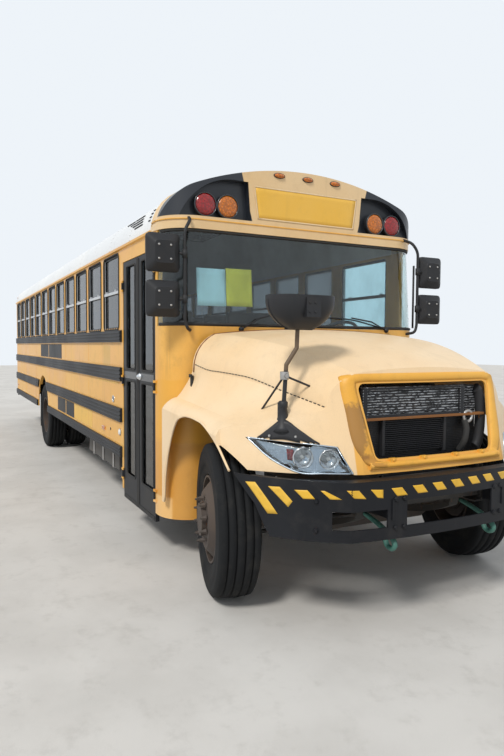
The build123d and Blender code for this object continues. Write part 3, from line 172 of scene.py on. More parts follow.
def new_group(name: str, kind: str, inputs: Sequence[tuple[str, str, object]],
              outputs: Sequence[tuple[str, str]]) -> tuple[NodeGraph, dict, dict]:
    """Starts a node group.

    Args:
        name: the group's name.
        kind: the type of its tree.
        inputs: name, socket type and default of each input.
        outputs: name and socket type of each output.

    Returns:
        A graph on the new tree, and its inner inputs and outputs by name.
    """
    tree = bpy.data.node_groups.new(name, kind)
    for label, socket_type, default in inputs:
        socket = tree.interface.new_socket(name=label, in_out="INPUT", socket_type=socket_type)
        if default is not None:
            socket.default_value = (*default, 1.0) if socket_type == "NodeSocketColor" else default
    for label, socket_type in outputs:
        tree.interface.new_socket(name=label, in_out="OUTPUT", socket_type=socket_type)
    graph = NodeGraph(tree)
    source = graph.add("NodeGroupInput")
    target = graph.add("NodeGroupOutput")
    return graph, source.outputs, target.inputs


def weather_group() -> Tree:
    """Returns the group that fades, streaks, dirties and rusts a surface."""
    names = [("Base", "NodeSocketColor", (0.5, 0.5, 0.5)), ("Faded", "NodeSocketColor", (0.6, 0.6, 0.6)),
             ("Dirt", "NodeSocketColor", (0.1, 0.08, 0.06)), ("Rust", "NodeSocketColor", (0.16, 0.06, 0.02)),
             ("Fade", "NodeSocketFloat", 0.5), ("Streaks", "NodeSocketFloat", 0.2),
             ("Grime", "NodeSocketFloat", 0.2), ("Rusting", "NodeSocketFloat", 0.0),
             ("Roughness", "NodeSocketFloat", 0.5), ("Grain", "NodeSocketFloat", 0.2)]
    graph, source, target = new_group(
        "weathered_surface", "ShaderNodeTree", names,
        [("Color", "NodeSocketColor"), ("Roughness", "NodeSocketFloat"), ("Height", "NodeSocketFloat")])
    wide = graph.noise(graph.place(), 0.9, 5.0, 0.6)
    fade = graph.times(graph.ramp(wide, 0.36, 0.64), source["Fade"], True)
    colour = graph.mix(fade, source["Base"], source["Faded"])
    runs = graph.noise(graph.place((9.0, 9.0, 0.7)), 1.6, 4.0, 0.6)
    streak = graph.times(graph.ramp(runs, 0.55, 0.78), source["Streaks"], True)
    colour = graph.mix(streak, colour, source["Dirt"])
    blots = graph.noise(graph.place(offset=(3.1, 0.7, 1.9)), 5.5, 6.0, 0.7)
    grime = graph.times(graph.ramp(blots, 0.50, 0.72), source["Grime"], True)
    colour = graph.mix(grime, colour, source["Dirt"])
    specks = graph.noise(graph.place((1.0, 1.0, 0.6), (0.4, 2.2, 5.3)), 17.0, 6.0, 0.72)
    rust = graph.times(graph.ramp(specks, 0.62, 0.70), source["Rusting"], True)
    colour = graph.mix(rust, colour, source["Rust"])
    fine = graph.noise(graph.place(), 240.0, 3.0, 0.6)
    shade = graph.ramp(fine, 0.2, 0.8, 0.94, 1.05)
    grey = graph.add("ShaderNodeCombineColor")
    for index in range(3):
        graph.feed(grey.inputs[index], shade)
    colour = graph.mix(1.0, colour, grey.outputs[0], "MULTIPLY")
    graph.feed(target["Color"], colour)
    worn = graph.times(graph.plus(fade, graph.plus(grime, rust)), 0.22)
    rough = graph.plus(graph.plus(source["Roughness"], worn), graph.times(streak, 0.1))
    graph.feed(target["Roughness"], graph.math("MINIMUM", rough, 0.96))
    lumps = graph.times(fine, source["Grain"])
    graph.feed(target["Height"], graph.plus(lumps, graph.times(rust, 0.6)))
    return graph.tree


def region_group() -> Tree:
    """Returns the group that masks a box of the object with a ragged edge."""
    names = [("Low", "NodeSocketVector", (0.0, 0.0, 0.0)), ("High", "NodeSocketVector", (1.0, 1.0, 1.0)),
             ("Soft", "NodeSocketFloat", 0.01), ("Wobble", "NodeSocketFloat", 0.0)]
    graph, source, target = new_group(
        "painted_region", "ShaderNodeTree", names, [("Mask", "NodeSocketFloat")])
    here = graph.place()
    edge = graph.times(graph.math("SUBTRACT", graph.noise(here, 7.0, 5.0, 0.65), 0.5), source["Wobble"])
    soft = source["Soft"]
    mask = 1.0
    for spot, low, high in zip(graph.axes(here), graph.axes(source["Low"]), graph.axes(source["High"])):
        value = graph.plus(spot, edge)
        rise = graph.ramp(value, graph.math("SUBTRACT", low, soft), graph.plus(low, soft))
        fall = graph.ramp(value, graph.math("SUBTRACT", high, soft), graph.plus(high, soft), 1.0, 0.0)
        mask = graph.times(mask, graph.times(rise, fall))
    graph.feed(target["Mask"], mask)
    return graph.tree


WEATHER = weather_group()
REGION = region_group()


@dataclass(frozen=True)
class Region:
    """A box of the surface painted in another colour."""

    low: Point
    high: Point
    colour: Colour
    strength: float = 1.0
    soft: float = 0.004
    wobble: float = 0.0


@dataclass(frozen=True)
class Coating:
    """What every finish shares: a name and one material of that name."""

    name: str

    def fill(self, graph: NodeGraph, shader: Node) -> None:
        """Lays the finish's own nodes; each kind of finish has its own."""
        raise NotImplementedError

    def material(self) -> bpy.types.Material:
        """Returns the material, built once by name."""
        found = bpy.data.materials.get(self.name)
        if found:
            return found
        made = bpy.data.materials.new(self.name)
        made.use_nodes = True
        self.fill(NodeGraph(made.node_tree), made.node_tree.nodes["Principled BSDF"])
        return made


@dataclass(frozen=True)
class Finish(Coating):
    """A weathered opaque finish such as paint, plastic, rubber or metal."""
    base: Colour
    faded: Colour | None = None
    dirt: Colour = (0.10, 0.075, 0.05)
    rust: Colour = (0.17, 0.065, 0.022)
    fade: float = 0.5
    streaks: float = 0.15
    grime: float = 0.15
    rusting: float = 0.0
    roughness: float = 0.45
    grain: float = 0.2
    bump: float = 0.15
    metallic: float = 0.0
    coat: float = 0.0
    specular: float = 0.5
    regions: tuple[Region, ...] = ()

    def shade(self, graph: NodeGraph, colour: Socket) -> Socket:
        """Lays this finish's own pattern over the weathered colour; the plain finish has none."""
        return colour

    def relief(self, graph: NodeGraph, height: Socket) -> Socket:
        """Lays this finish's own relief over the grain; the plain finish has none."""
        return height

    def fill(self, graph: NodeGraph, shader: Node) -> None:
        """Lays weathering, painted regions, own pattern and relief."""
        faded = self.faded or tuple(min(1.0, c * 1.15 + 0.01) for c in self.base)
        weather = graph.wire(graph.add("ShaderNodeGroup", node_tree=WEATHER), {
            "Base": self.base, "Faded": faded, "Dirt": self.dirt, "Rust": self.rust, "Fade": self.fade,
            "Streaks": self.streaks, "Grime": self.grime, "Rusting": self.rusting,
            "Roughness": self.roughness, "Grain": self.grain}).outputs
        colour = weather["Color"]
        for region in self.regions:
            box = graph.wire(graph.add("ShaderNodeGroup", node_tree=REGION), {
                "Low": region.low, "High": region.high, "Soft": region.soft, "Wobble": region.wobble})
            colour = graph.mix(graph.times(box.outputs["Mask"], region.strength), colour, region.colour)
        graph.wire(shader, {
            "Base Color": self.shade(graph, colour), "Roughness": weather["Roughness"],
            "Normal": graph.bump(self.relief(graph, weather["Height"]), self.bump, 0.002),
            "Metallic": self.metallic, "Coat Weight": self.coat, "Specular IOR Level": self.specular,
            "Coat Roughness": 0.12})


@dataclass(frozen=True)
class CoreFinish(Finish):
    """Radiator core: rows of bright fins showing through black dirt in its upper part."""

    def shade(self, graph: NodeGraph, colour: Socket) -> Socket:
        """Returns the colour with rows of silver flecks."""
        flecks = graph.ramp(graph.noise(graph.place((1.0, 0.4, 1.6)), 70.0, 4.0, 0.7), 0.44, 0.54)
        height = graph.axes()[2]
        upper = graph.ramp(height, 1.225, 1.245)
        rows = graph.ramp(graph.math("SINE", graph.times(height, 2 * math.pi / 0.0165)), -0.1, 0.5)
        patches = graph.ramp(graph.noise(graph.place(), 6.0, 3.0), 0.30, 0.55, 0.45, 1.0)
        mask = graph.times(graph.times(flecks, upper), graph.times(rows, patches))
        return graph.mix(mask, colour, (0.42, 0.44, 0.47))

    def relief(self, graph: NodeGraph, height: Socket) -> Socket:
        """Returns the height with horizontal ribs."""
        wave = graph.add("ShaderNodeTexWave", bands_direction="Z")
        graph.wire(wave, {"Vector": graph.place(), "Scale": 28.0})
        return graph.plus(height, wave.outputs["Fac"])


@dataclass(frozen=True)
class GlassFinish(Coating):
    """Clear or tinted pane with a film of dust; the driver's pane may have its own tint."""

    tint: Colour
    cab: Colour | None = None
    roughness: float = 0.03
    transmission: float = 1.0

    def fill(self, graph: NodeGraph, shader: Node) -> None:
        """Lays the tint, the film and the driver's pane."""
        film = graph.noise(graph.place((1.0, 1.0, 0.5)), 3.2, 5.0, 0.6)
        darker = tuple(c * 0.8 for c in self.tint)
        colour = graph.mix(graph.ramp(film, 0.35, 0.7), self.tint, darker)
        if self.cab:
            x, y, _ = graph.axes()
            left = graph.times(graph.ramp(x, 3.02, 3.06), graph.ramp(y, 0.9, 1.0))
            colour = graph.mix(left, colour, self.cab)
        graph.wire(shader, {"Base Color": colour, "IOR": 1.45, "Transmission Weight": self.transmission,
                            "Roughness": graph.ramp(film, 0.45, 0.8, self.roughness, self.roughness + 0.07)})


@dataclass(frozen=True)
class LensFinish(Coating):
    """Moulded lamp lens with fine prisms."""

    colour: Colour
    prisms: float = 60.0
    transmission: float = 0.25

    def fill(self, graph: NodeGraph, shader: Node) -> None:
        """Lays the cells of the prisms and their relief."""
        cells = graph.add("ShaderNodeTexVoronoi", feature="F1")
        height = graph.wire(cells, {"Vector": graph.place(), "Scale": self.prisms}).outputs["Distance"]
        dull = tuple(c * 0.55 for c in self.colour)
        film = graph.noise(graph.place(), 30.0, 4.0)
        graph.wire(shader, {
            "Base Color": graph.mix(graph.ramp(height, 0.1, 0.7), self.colour, dull),
            "Roughness": graph.ramp(film, 0.3, 0.7, 0.12, 0.3), "Normal": graph.bump(height, 0.35, 0.003),
            "Transmission Weight": self.transmission, "Coat Weight": 0.4})


# Colours of this bus
YELLOW = (0.80, 0.40, 0.060)
YELLOW_FADED = (0.85, 0.49, 0.125)
BRIGHT = (0.80, 0.40, 0.05)
BLACK = (0.012, 0.013, 0.016)


class Paints(Enum):
    """Every finish on the bus."""

    BODY = Finish(
        "body_paint", YELLOW, YELLOW_FADED, fade=0.85, streaks=0.16, grime=0.10, rusting=0.10, roughness=0.36,
        coat=0.15, regions=(Region((2.258, -1.23, 1.465), (2.548, -1.2, 1.667), (0.62, 0.36, 0.05), 0.7),))
    COWL = Finish(
        "cowl_paint", YELLOW, YELLOW_FADED, fade=0.8, streaks=0.25, grime=0.16, rusting=0.12, roughness=0.38,
        coat=0.15, regions=(
            Region((3.97, -1.3, 0.928), (4.4, -0.9, 1.41), BRIGHT, 0.85, 0.01, 0.05),
            Region((3.97, -1.3, 0.3), (4.4, -0.8, 0.928), (0.60, 0.27, 0.05), 0.55, 0.03, 0.1),
            Region((3.97, -1.3, 0.3), (4.2, -1.0, 0.5), (0.85, 0.52, 0.20), 0.9, 0.01, 0.0)))
    HOOD = Finish(
        "hood_paint", (0.86, 0.62, 0.36), (0.89, 0.70, 0.47), fade=0.8, streaks=0.08, grime=0.08,
        rusting=0.05, roughness=0.42, coat=0.1,
        regions=(Region((5.58, -0.595, 0.9), (6.0, 0.595, 1.49), BRIGHT, 0.92, 0.004, 0.0),))
    SURROUND = Finish(
        "surround_paint", BRIGHT, (0.84, 0.47, 0.09), dirt=(0.30, 0.15, 0.04), fade=0.6, grime=0.25,
        roughness=0.45, regions=(
            Region((5.60, -0.640, 1.00), (6.0, -0.520, 1.33), (0.26, 0.13, 0.045), 0.75, 0.015, 0.22),
            Region((5.60, -0.60, 0.9), (6.0, -0.40, 1.05), (0.34, 0.15, 0.03), 0.6, 0.02, 0.25)))
    ROOF = Finish("roof_paint", (0.78, 0.80, 0.82), (0.86, 0.87, 0.87), dirt=(0.42, 0.42, 0.40), fade=0.8,
                  streaks=0.2, roughness=0.4)
    HEADER_CREAM = Finish("header_paint", (0.76, 0.55, 0.30), (0.82, 0.64, 0.42), fade=0.7, streaks=0.12,
                          grime=0.12, roughness=0.4)
    BLACK_GLOSS = Finish("black_gloss", (0.016, 0.02, 0.028), (0.05, 0.055, 0.06), dirt=(0.12, 0.11, 0.10),
                         streaks=0.12, grime=0.06, roughness=0.24, coat=0.4)
    BLACK_TRIM = Finish("black_trim", BLACK, (0.035, 0.037, 0.042), dirt=(0.10, 0.09, 0.08), fade=0.6,
                        streaks=0.12, grime=0.12, roughness=0.45, specular=0.3)
    BUMPER = Finish("bumper_paint", (0.009, 0.010, 0.013), (0.022, 0.024, 0.029), dirt=(0.06, 0.055, 0.05),
                    fade=0.6, streaks=0.10, grime=0.18, rusting=0.12, roughness=0.42, specular=0.25)
    STRIPE = Finish(
        "stripe_yellow", (0.80, 0.46, 0.03), (0.83, 0.56, 0.12), fade=0.6, grime=0.3, roughness=0.4)
    SIGN = Finish("sign_yellow", (0.82, 0.47, 0.05), (0.84, 0.52, 0.12), streaks=0.1, grime=0.1,
                  roughness=0.35)
    FRAME = Finish("frame_paint", (0.03, 0.028, 0.026), (0.06, 0.055, 0.05), dirt=(0.14, 0.11, 0.08),
                   fade=0.6, grime=0.5, rusting=0.5, roughness=0.6, grain=0.5)
    AXLE = Finish("axle_iron", (0.055, 0.045, 0.04), (0.10, 0.08, 0.06), fade=0.7, grime=0.4, rusting=0.9,
                  roughness=0.65, grain=0.7, bump=0.3)
    RIM = Finish("wheel_paint", (0.05, 0.04, 0.037), (0.10, 0.07, 0.05), rust=(0.15, 0.055, 0.02), fade=0.7,
                 grime=0.35, rusting=0.9, roughness=0.6, grain=0.6, bump=0.3)
    TYRE = Finish("tread_rubber", (0.008, 0.009, 0.010), (0.018, 0.019, 0.021), dirt=(0.07, 0.065, 0.055),
                  fade=0.7, streaks=0.05, grime=0.25, roughness=0.72, grain=0.6, bump=0.3, specular=0.2)
    LINER = Finish("arch_liner", (0.22, 0.085, 0.02), (0.30, 0.13, 0.04), fade=0.6, grime=0.5, roughness=0.7)
    ALUMINIUM = Finish("sash_aluminium", (0.60, 0.61, 0.62), (0.70, 0.71, 0.72), dirt=(0.2, 0.2, 0.2),
                       grime=0.25, roughness=0.32, metallic=0.75)
    STEEL = Finish("plain_steel", (0.42, 0.41, 0.40), (0.5, 0.49, 0.48), grime=0.3, rusting=0.25,
                   roughness=0.38, metallic=0.8)
    CHROME = Finish("bright_metal", (0.72, 0.74, 0.76), fade=0.3, grime=0.1, streaks=0.0, roughness=0.12,
                    metallic=1.0, grain=0.05)
    CORE = CoreFinish("radiator_core", (0.009, 0.010, 0.012), (0.02, 0.021, 0.023), grime=0.1,
                      roughness=0.5, bump=0.6, metallic=0.4)
    ENGINE = Finish("engine_casting", (0.06, 0.06, 0.06), (0.10, 0.10, 0.10), grime=0.5, rusting=0.4,
                    roughness=0.6, grain=0.6)
    PLASTIC = Finish("dark_plastic", (0.018, 0.019, 0.022), (0.040, 0.041, 0.044), streaks=0.05,
                     grime=0.1, roughness=0.5, grain=0.7, bump=0.3, specular=0.3)
    MIRROR_ARM = Finish(
        "mirror_plastic", (0.018, 0.019, 0.022), (0.038, 0.038, 0.042), streaks=0.05, grime=0.1,
        roughness=0.42, grain=0.5, bump=0.2, specular=0.35,
        regions=(Region((5.40, -1.0, 1.525), (5.6, -0.75, 1.765), (0.17, 0.115, 0.07), 0.8, 0.015, 0.02),))
    PAN = Finish("lamp_pan", (0.50, 0.58, 0.66), (0.62, 0.68, 0.74), dirt=(0.2, 0.2, 0.2), fade=0.4,
                 grime=0.1, streaks=0.0, roughness=0.22, metallic=0.9, grain=0.1)
    RUBBER = Finish("seal_rubber", (0.018, 0.018, 0.018), (0.04, 0.04, 0.04), grime=0.2, roughness=0.75)
    FLOOR = Finish("floor_covering", (0.05, 0.05, 0.052), (0.08, 0.08, 0.08), grime=0.4, roughness=0.6,
                   grain=0.8, bump=0.4)
    SEAT = Finish("seat_vinyl", (0.05, 0.028, 0.018), (0.08, 0.05, 0.035), fade=0.6, grime=0.1,
                  roughness=0.42, grain=1.0, bump=0.35)
    STOP_RED = Finish("stop_paint", (0.50, 0.022, 0.02), (0.56, 0.07, 0.05), fade=0.6, roughness=0.35)
    WHITE = Finish("plain_white", (0.78, 0.78, 0.76), fade=0.4, grime=0.12, roughness=0.4)
    TANK = Finish("tank_paint", (0.07, 0.07, 0.07), (0.13, 0.12, 0.11), grime=0.4, rusting=0.5,
                  roughness=0.55, metallic=0.3)
    PAPER_BLUE = Finish("paper_blue", (0.60, 0.86, 0.95), fade=0.3, streaks=0.0, grime=0.03, roughness=0.8)
    PAPER_GREEN = Finish("paper_green", (0.95, 0.84, 0.10), fade=0.3, streaks=0.0, grime=0.03, roughness=0.8)
    HOOK = Finish(
        "hook_paint", (0.05, 0.16, 0.13), (0.10, 0.22, 0.18), grime=0.4, rusting=0.5, roughness=0.55)
    WINDSHIELD = GlassFinish("windshield_glass", (0.80, 0.92, 0.93))
    WINDOW = GlassFinish("window_glass", (0.15, 0.17, 0.19), cab=(0.52, 0.74, 0.80))
    CLEAR = GlassFinish("lens_clear", (0.86, 0.90, 0.92))
    MIRROR = Finish("mirror_glass", (0.80, 0.82, 0.84), streaks=0.0, fade=0.2, grime=0.03, roughness=0.05,
                    metallic=1.0, grain=0.0)
    RED = LensFinish("red_lens", (0.52, 0.016, 0.018))
    AMBER = LensFinish("amber_prisms", (0.92, 0.25, 0.015))

    @property
    def mat(self) -> bpy.types.Material:
        """The finish's material."""
        return self.value.material()


# Mesh building


def rounded(points: Sequence[Point], radius: float, steps: int = 5) -> list[Vector]:
    """Rounds the corners of a path.

    Args:
        points: the path's corners.
        radius: the bend radius, capped by the runs' lengths.
        steps: points on each bend.

    Returns:
        The rounded path.
    """
    path = [Vector(points[0])]
    for before, corner, after in zip(points, points[1:], points[2:]):
        here = Vector(corner)
        into, out = (here - Vector(before)), (Vector(after) - here)
        reach = min(radius, into.length * 0.45, out.length * 0.45)
        first, last = here - into.normalized() * reach, here + out.normalized() * reach
        for step in range(steps + 1):
            t = step / steps
            path.append(first * (1 - t) ** 2 + here * 2 * t * (1 - t) + last * t**2)
    path.append(Vector(points[-1]))
    return path


def circle(count: int) -> list[tuple[float, float]]:
    """Returns the cosine and sine of even angles round a circle."""
    return [(math.cos(a), math.sin(a)) for a in (2 * math.pi * k / count for k in range(count))]


def pane(centre: Sequence[float], right: Sequence[float], up: Sequence[float], radius: float) -> list[Vector]:
    """Returns the ring of a pane with round corners.

    Args:
        centre: the pane's middle.
        right: from the middle to one side's edge.
        up: from the middle to the upper edge.
        radius: the corners' radius.

    Returns:
        The ring's points, from the middle of the upper edge.
    """
    turns = ((0, 1), (1, 1), (1, -1), (-1, -1), (-1, 1), (0, 1))
    corners = [Vector(centre) + Vector(right) * a + Vector(up) * b for a, b in turns]
    return rounded(corners, radius, 4)[:-1]


def in_scene(name: str, data: bpy.types.ID) -> bpy.types.Object:
    """Returns a new object of the scene."""
    made = bpy.data.objects.new(name, data)
    bpy.context.collection.objects.link(made)
    return made


class Form:
    """Collects the faces of one piece and turns them into an object."""

    def __init__(self, name: str) -> None:
        """Args: name: the piece's name."""
        self.name = name
        self.mesh = bmesh.new()

    def faces(self, corners: Path, loops: Sequence[Sequence[int]], slot: int = 0,
              smooth: bool = False) -> None:
        """Adds faces over new corners."""
        made = [self.mesh.verts.new(corner) for corner in corners]
        for loop in loops:
            face = self.mesh.faces.new([made[i] for i in loop])
            face.material_index = slot
            face.smooth = smooth

    def box(self, low: Point, high: Point, slot: int = 0) -> None:
        """Adds a box between two corners."""
        spans = [sorted((a, b)) for a, b in zip(low, high)]
        corners = [(spans[0][i], spans[1][j], spans[2][k]) for i in (0, 1) for j in (0, 1) for k in (0, 1)]
        self.faces(corners, ((0, 1, 3, 2), (4, 6, 7, 5), (0, 4, 5, 1), (2, 3, 7, 6), (0, 2, 6, 4),
                             (1, 5, 7, 3)), slot)

    def prism(self, outline: Path, depth: Sequence[float], slot: int = 0) -> None:
        """Adds a flat outline pushed along depth."""
        count = len(outline)
        base = [Vector(p) for p in outline]
        top = [p + Vector(depth) for p in base]
        loops = [list(range(count))[::-1], [count + i for i in range(count)]]
        loops += [[i, (i + 1) % count, count + (i + 1) % count, count + i] for i in range(count)]
        self.faces(base + top, loops, slot)

    def tube(self, path: Path, radius: float, sides: int = 12, slot: int = 0, closed: bool = False) -> None:
        """Adds a round tube along a path, with closed ends unless it is a ring."""
        points = [Vector(p) for p in path]
        count = len(points)
        rows = []
        side = None
        for i, point in enumerate(points):
            ahead = points[(i + 1) % count] if closed or i + 1 < count else point
            behind = points[i - 1] if closed or i > 0 else point
            along = (ahead - behind).normalized()
            if side is None:
                side = along.orthogonal().normalized()
            side = (side - along * side.dot(along)).normalized()
            other = along.cross(side)
            rows.append([point + (side * c + other * s) * radius for c, s in circle(sides)])
        self.skin(rows, slot, closed=closed)
        if not closed:
            for row, turn in ((rows[0], -1), (rows[-1], 1)):
                self.faces(row, [list(range(sides))[::turn]], slot)

    def skin(self, rows: Sequence[Path], slot: int = 0, closed: bool = False, smooth: bool = True) -> None:
        """Adds a surface over rings of points."""
        count, width = len(rows), len(rows[0])
        corners = [p for row in rows for p in row]
        loops = []
        for i in range(count if closed else count - 1):
            for k in range(width):
                a, b = i * width + k, i * width + (k + 1) % width
                c, d = ((i + 1) % count) * width + (k + 1) % width, ((i + 1) % count) * width + k
                loops.append((a, b, c, d))
        self.faces(corners, loops, slot, smooth)

    def lathe(self, profile: Sequence[tuple[float, float]], centre: Sequence[float], axis: Sequence[float],
              steps: int = 32, slot: int = 0) -> None:
        """Adds a turned form; profile pairs are distance along the axis and radius."""
        along = Vector(axis).normalized()
        side = along.orthogonal().normalized()
        other = along.cross(side)
        rows = [[Vector(centre) + along * run + (side * c + other * s) * max(radius, 1e-5)
                 for c, s in circle(steps)] for run, radius in profile]
        self.skin(rows, slot)

    def make(self, body: str, *paints: Paints, bevel: float = 0.0, subdivide: int = 0, weld: float = 1e-5,
             slot_name: str = "") -> bpy.types.Object:
        """Turns the form into an object that rides on a body.

        Args:
            body: the body it rides on.
            paints: the finishes, by face slot.
            bevel: width of the bevelled edges.
            subdivide: levels of subdivision.
            weld: distance under which corners join.
            slot_name: the record's material slot; not used.

        Returns:
            The object.
        """
        bmesh.ops.remove_doubles(self.mesh, verts=self.mesh.verts, dist=weld)
        bmesh.ops.recalc_face_normals(self.mesh, faces=self.mesh.faces)
        if bevel:
            sharp = [e for e in self.mesh.edges if len(e.link_faces) == 2 and e.calc_face_angle() > 0.6]
            bmesh.ops.bevel(self.mesh, geom=sharp, offset=bevel, segments=2, profile=0.6, affect="EDGES",
                            clamp_overlap=True)
        data = bpy.data.meshes.new(self.name)
        self.mesh.to_mesh(data)
        self.mesh.free()
        piece = in_scene(self.name, data)
        for paint in paints:
            data.materials.append(paint.mat)
        if subdivide:
            modifier = piece.modifiers.new("rounding", "SUBSURF")
            modifier.levels = modifier.render_levels = subdivide
        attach(piece, body)
        LOG.info("piece %s: %d faces on %s", self.name, len(data.polygons), body)
        return piece


class Surface:
    """A CAD node's surface, for seating pieces on it."""

    def __init__(self, node: str) -> None:
        """Args: node: the CAD node's name."""
        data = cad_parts[node].data
        self.tree = BVHTree.FromPolygons([v.co for v in data.vertices], [p.vertices for p in data.polygons])

    def cast(self, start: Point, towards: Point) -> tuple[Vector, Vector] | None:
        """Returns the point and normal where a ray first meets the surface, or None."""
        place, normal, _, _ = self.tree.ray_cast(Vector(start), Vector(towards).normalized())
        if place is None:
            return None
        if normal.dot(Vector(towards)) > 0:
            normal = -normal
        return place, normal

    def spot(self, start: Sequence[float], towards: Sequence[float], lift: float = 0.0) -> Vector | None:
        """Returns the point where a ray first meets the surface, lifted along its normal, or None."""
        found = self.cast(start, towards)
        return found[0] + found[1] * lift if found else None

    def ahead(self, y: float, z: float, lift: float = 0.0) -> Vector | None:
        """Returns the point that shows from ahead at y and z, lifted along its normal, or None."""
        return self.spot((AHEAD_X, y, z), REARWARD, lift)


# Geometry Nodes: what repeats


class Repeater:
    """Geometry Nodes trees that set a small form along points or curves."""

    def __init__(self) -> None:
        """Builds both trees once."""
        self.studs = self.stud_tree()
        self.dashes = self.dash_tree()

    @staticmethod
    def start(name: str, inputs: Sequence[tuple[str, str, object]]) -> tuple[NodeGraph, dict, dict]:
        """Returns a graph on a new tree with the named inputs, and its inner inputs and outputs."""
        return new_group(
            name, "GeometryNodeTree",
            (("Geometry", "NodeSocketGeometry", None), *inputs, ("Material", "NodeSocketMaterial", None)),
            [("Geometry", "NodeSocketGeometry")])

    @staticmethod
    def close(graph: NodeGraph, source: dict, target: dict, spread: dict[str, object]) -> Tree:
        """Ends a tree with Instance on Points, Realize Instances and Set Material."""
        instances = graph.wire(graph.add("GeometryNodeInstanceOnPoints"), spread)
        realize = graph.wire(graph.add("GeometryNodeRealizeInstances"), {"Geometry": instances.outputs[0]})
        paint = graph.wire(graph.add("GeometryNodeSetMaterial"), {
            "Geometry": realize.outputs[0], "Material": source["Material"]})
        graph.feed(target["Geometry"], paint.outputs[0])
        return graph.tree

    def stud_tree(self) -> Tree:
        """Returns the tree that sets a domed head on every point, facing along its normal attribute."""
        graph, source, target = self.start("heads_on_points", (
            ("Radius", "NodeSocketFloat", 0.005), ("Height", "NodeSocketFloat", 0.003),
            ("Sides", "NodeSocketInt", 8)))
        cone = graph.wire(graph.add("GeometryNodeMeshCone"), {
            "Vertices": source["Sides"], "Radius Bottom": source["Radius"],
            "Radius Top": graph.times(source["Radius"], 0.62), "Depth": source["Height"]})
        facing = graph.add("GeometryNodeInputNamedAttribute", data_type="FLOAT_VECTOR")
        graph.wire(facing, {"Name": "facing"})
        align = graph.add("FunctionNodeAlignRotationToVector", axis="Z")
        graph.wire(align, {"Vector": facing.outputs["Attribute"]})
        return self.close(graph, source, target, {
            "Points": source["Geometry"], "Instance": cone.outputs["Mesh"], "Rotation": align.outputs[0]})

    def dash_tree(self) -> Tree:
        """Returns the tree that sets small blocks along a curve at an even pitch."""
        graph, source, target = self.start("blocks_on_curve", (
            ("Pitch", "NodeSocketFloat", 0.05), ("Size", "NodeSocketVector", (0.004, 0.004, 0.02))))
        points = graph.add("GeometryNodeCurveToPoints", mode="LENGTH")
        graph.wire(points, {"Curve": source["Geometry"], "Length": source["Pitch"]})
        cube = graph.wire(graph.add("GeometryNodeMeshCube"), {"Size": source["Size"]})
        return self.close(graph, source, target, {
            "Points": points.outputs["Points"], "Instance": cube.outputs["Mesh"],
            "Rotation": points.outputs["Rotation"]})

    @staticmethod
    def apply(holder: bpy.types.Object, tree: Tree, values: dict[str, object], name: str, body: str,
              paint: Paints) -> bpy.types.Object:
        """Runs a tree on a holder and keeps its result as a plain mesh.

        Args:
            holder: the object with the points or curve.
            tree: the tree to run.
            values: the tree's inputs by name.
            name: the piece's name.
            body: the body it rides on.
            paint: its finish.

        Returns:
            The piece.
        """
        modifier = holder.modifiers.new("repeat", "NODES")
        modifier.node_group = tree
        for item in tree.interface.items_tree:
            if item.item_type == "SOCKET" and item.in_out == "INPUT" and item.name in values:
                modifier[item.identifier] = values[item.name]
        graph = bpy.context.evaluated_depsgraph_get()
        graph.update()
        data = bpy.data.meshes.new_from_object(holder.evaluated_get(graph))
        bpy.data.objects.remove(holder)
        data.name = name
        piece = in_scene(name, data)
        if not data.materials:
            data.materials.append(paint.mat)
        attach(piece, body)
        LOG.info("piece %s: %d faces on %s", name, len(data.polygons), body)
        return piece

    def heads(self, name: str, body: str, places: Iterable[tuple[Sequence[float], Sequence[float]]],
              radius: float, height: float, paint: Paints, sides: int = 8) -> bpy.types.Object:
        """Sets a head on each place, given with its outward direction."""
        rows = list(places)
        data = bpy.data.meshes.new(name + "_points")
        data.from_pydata([tuple(p) for p, _ in rows], [], [])
        layer = data.attributes.new("facing", "FLOAT_VECTOR", "POINT")
        layer.data.foreach_set("vector", [c for _, n in rows for c in Vector(n).normalized()])
        holder = in_scene(name + "_points", data)
        return self.apply(holder, self.studs, {"Radius": radius, "Height": height, "Sides": sides,
                                               "Material": paint.mat}, name, body, paint)

    def blocks(self, name: str, body: str, path: Path, pitch: float, size: Point,
               paint: Paints) -> bpy.types.Object:
        """Sets blocks along a path at a pitch."""
        curve = bpy.data.curves.new(name + "_curve", "CURVE")
        curve.dimensions = "3D"
        spline = curve.splines.new("POLY")
        spline.points.add(len(path) - 1)
        for place, point in zip(spline.points, path):
            place.co = (*point, 1.0)
        holder = in_scene(name + "_curve", curve)
        return self.apply(
            holder, self.dashes, {"Pitch": pitch, "Size": size, "Material": paint.mat}, name, body, paint)


REPEAT = Repeater()


def dress(node: str, material: bpy.types.Material) -> None:
    """Gives one CAD node a material."""
    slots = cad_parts[node].data.materials
    slots.clear()
    slots.append(material)
    LOG.info("node %s: %s", node, material.name)


def paint_nodes(paint: Paints, *nodes: str) -> None:
    """Gives CAD nodes a finish."""
    for name in nodes:
        dress(name, paint.mat)


def across(corners: Sequence[Point], columns: int, rows: int) -> list[list[Vector]]:
    """Returns a grid of points over four corners, given round the patch."""
    a, b, c, d = (Vector(p) for p in corners)
    grid = []
    for j in range(rows + 1):
        v = j / rows
        start, end = a.lerp(d, v), b.lerp(c, v)
        grid.append([start.lerp(end, i / columns) for i in range(columns + 1)])
    return grid


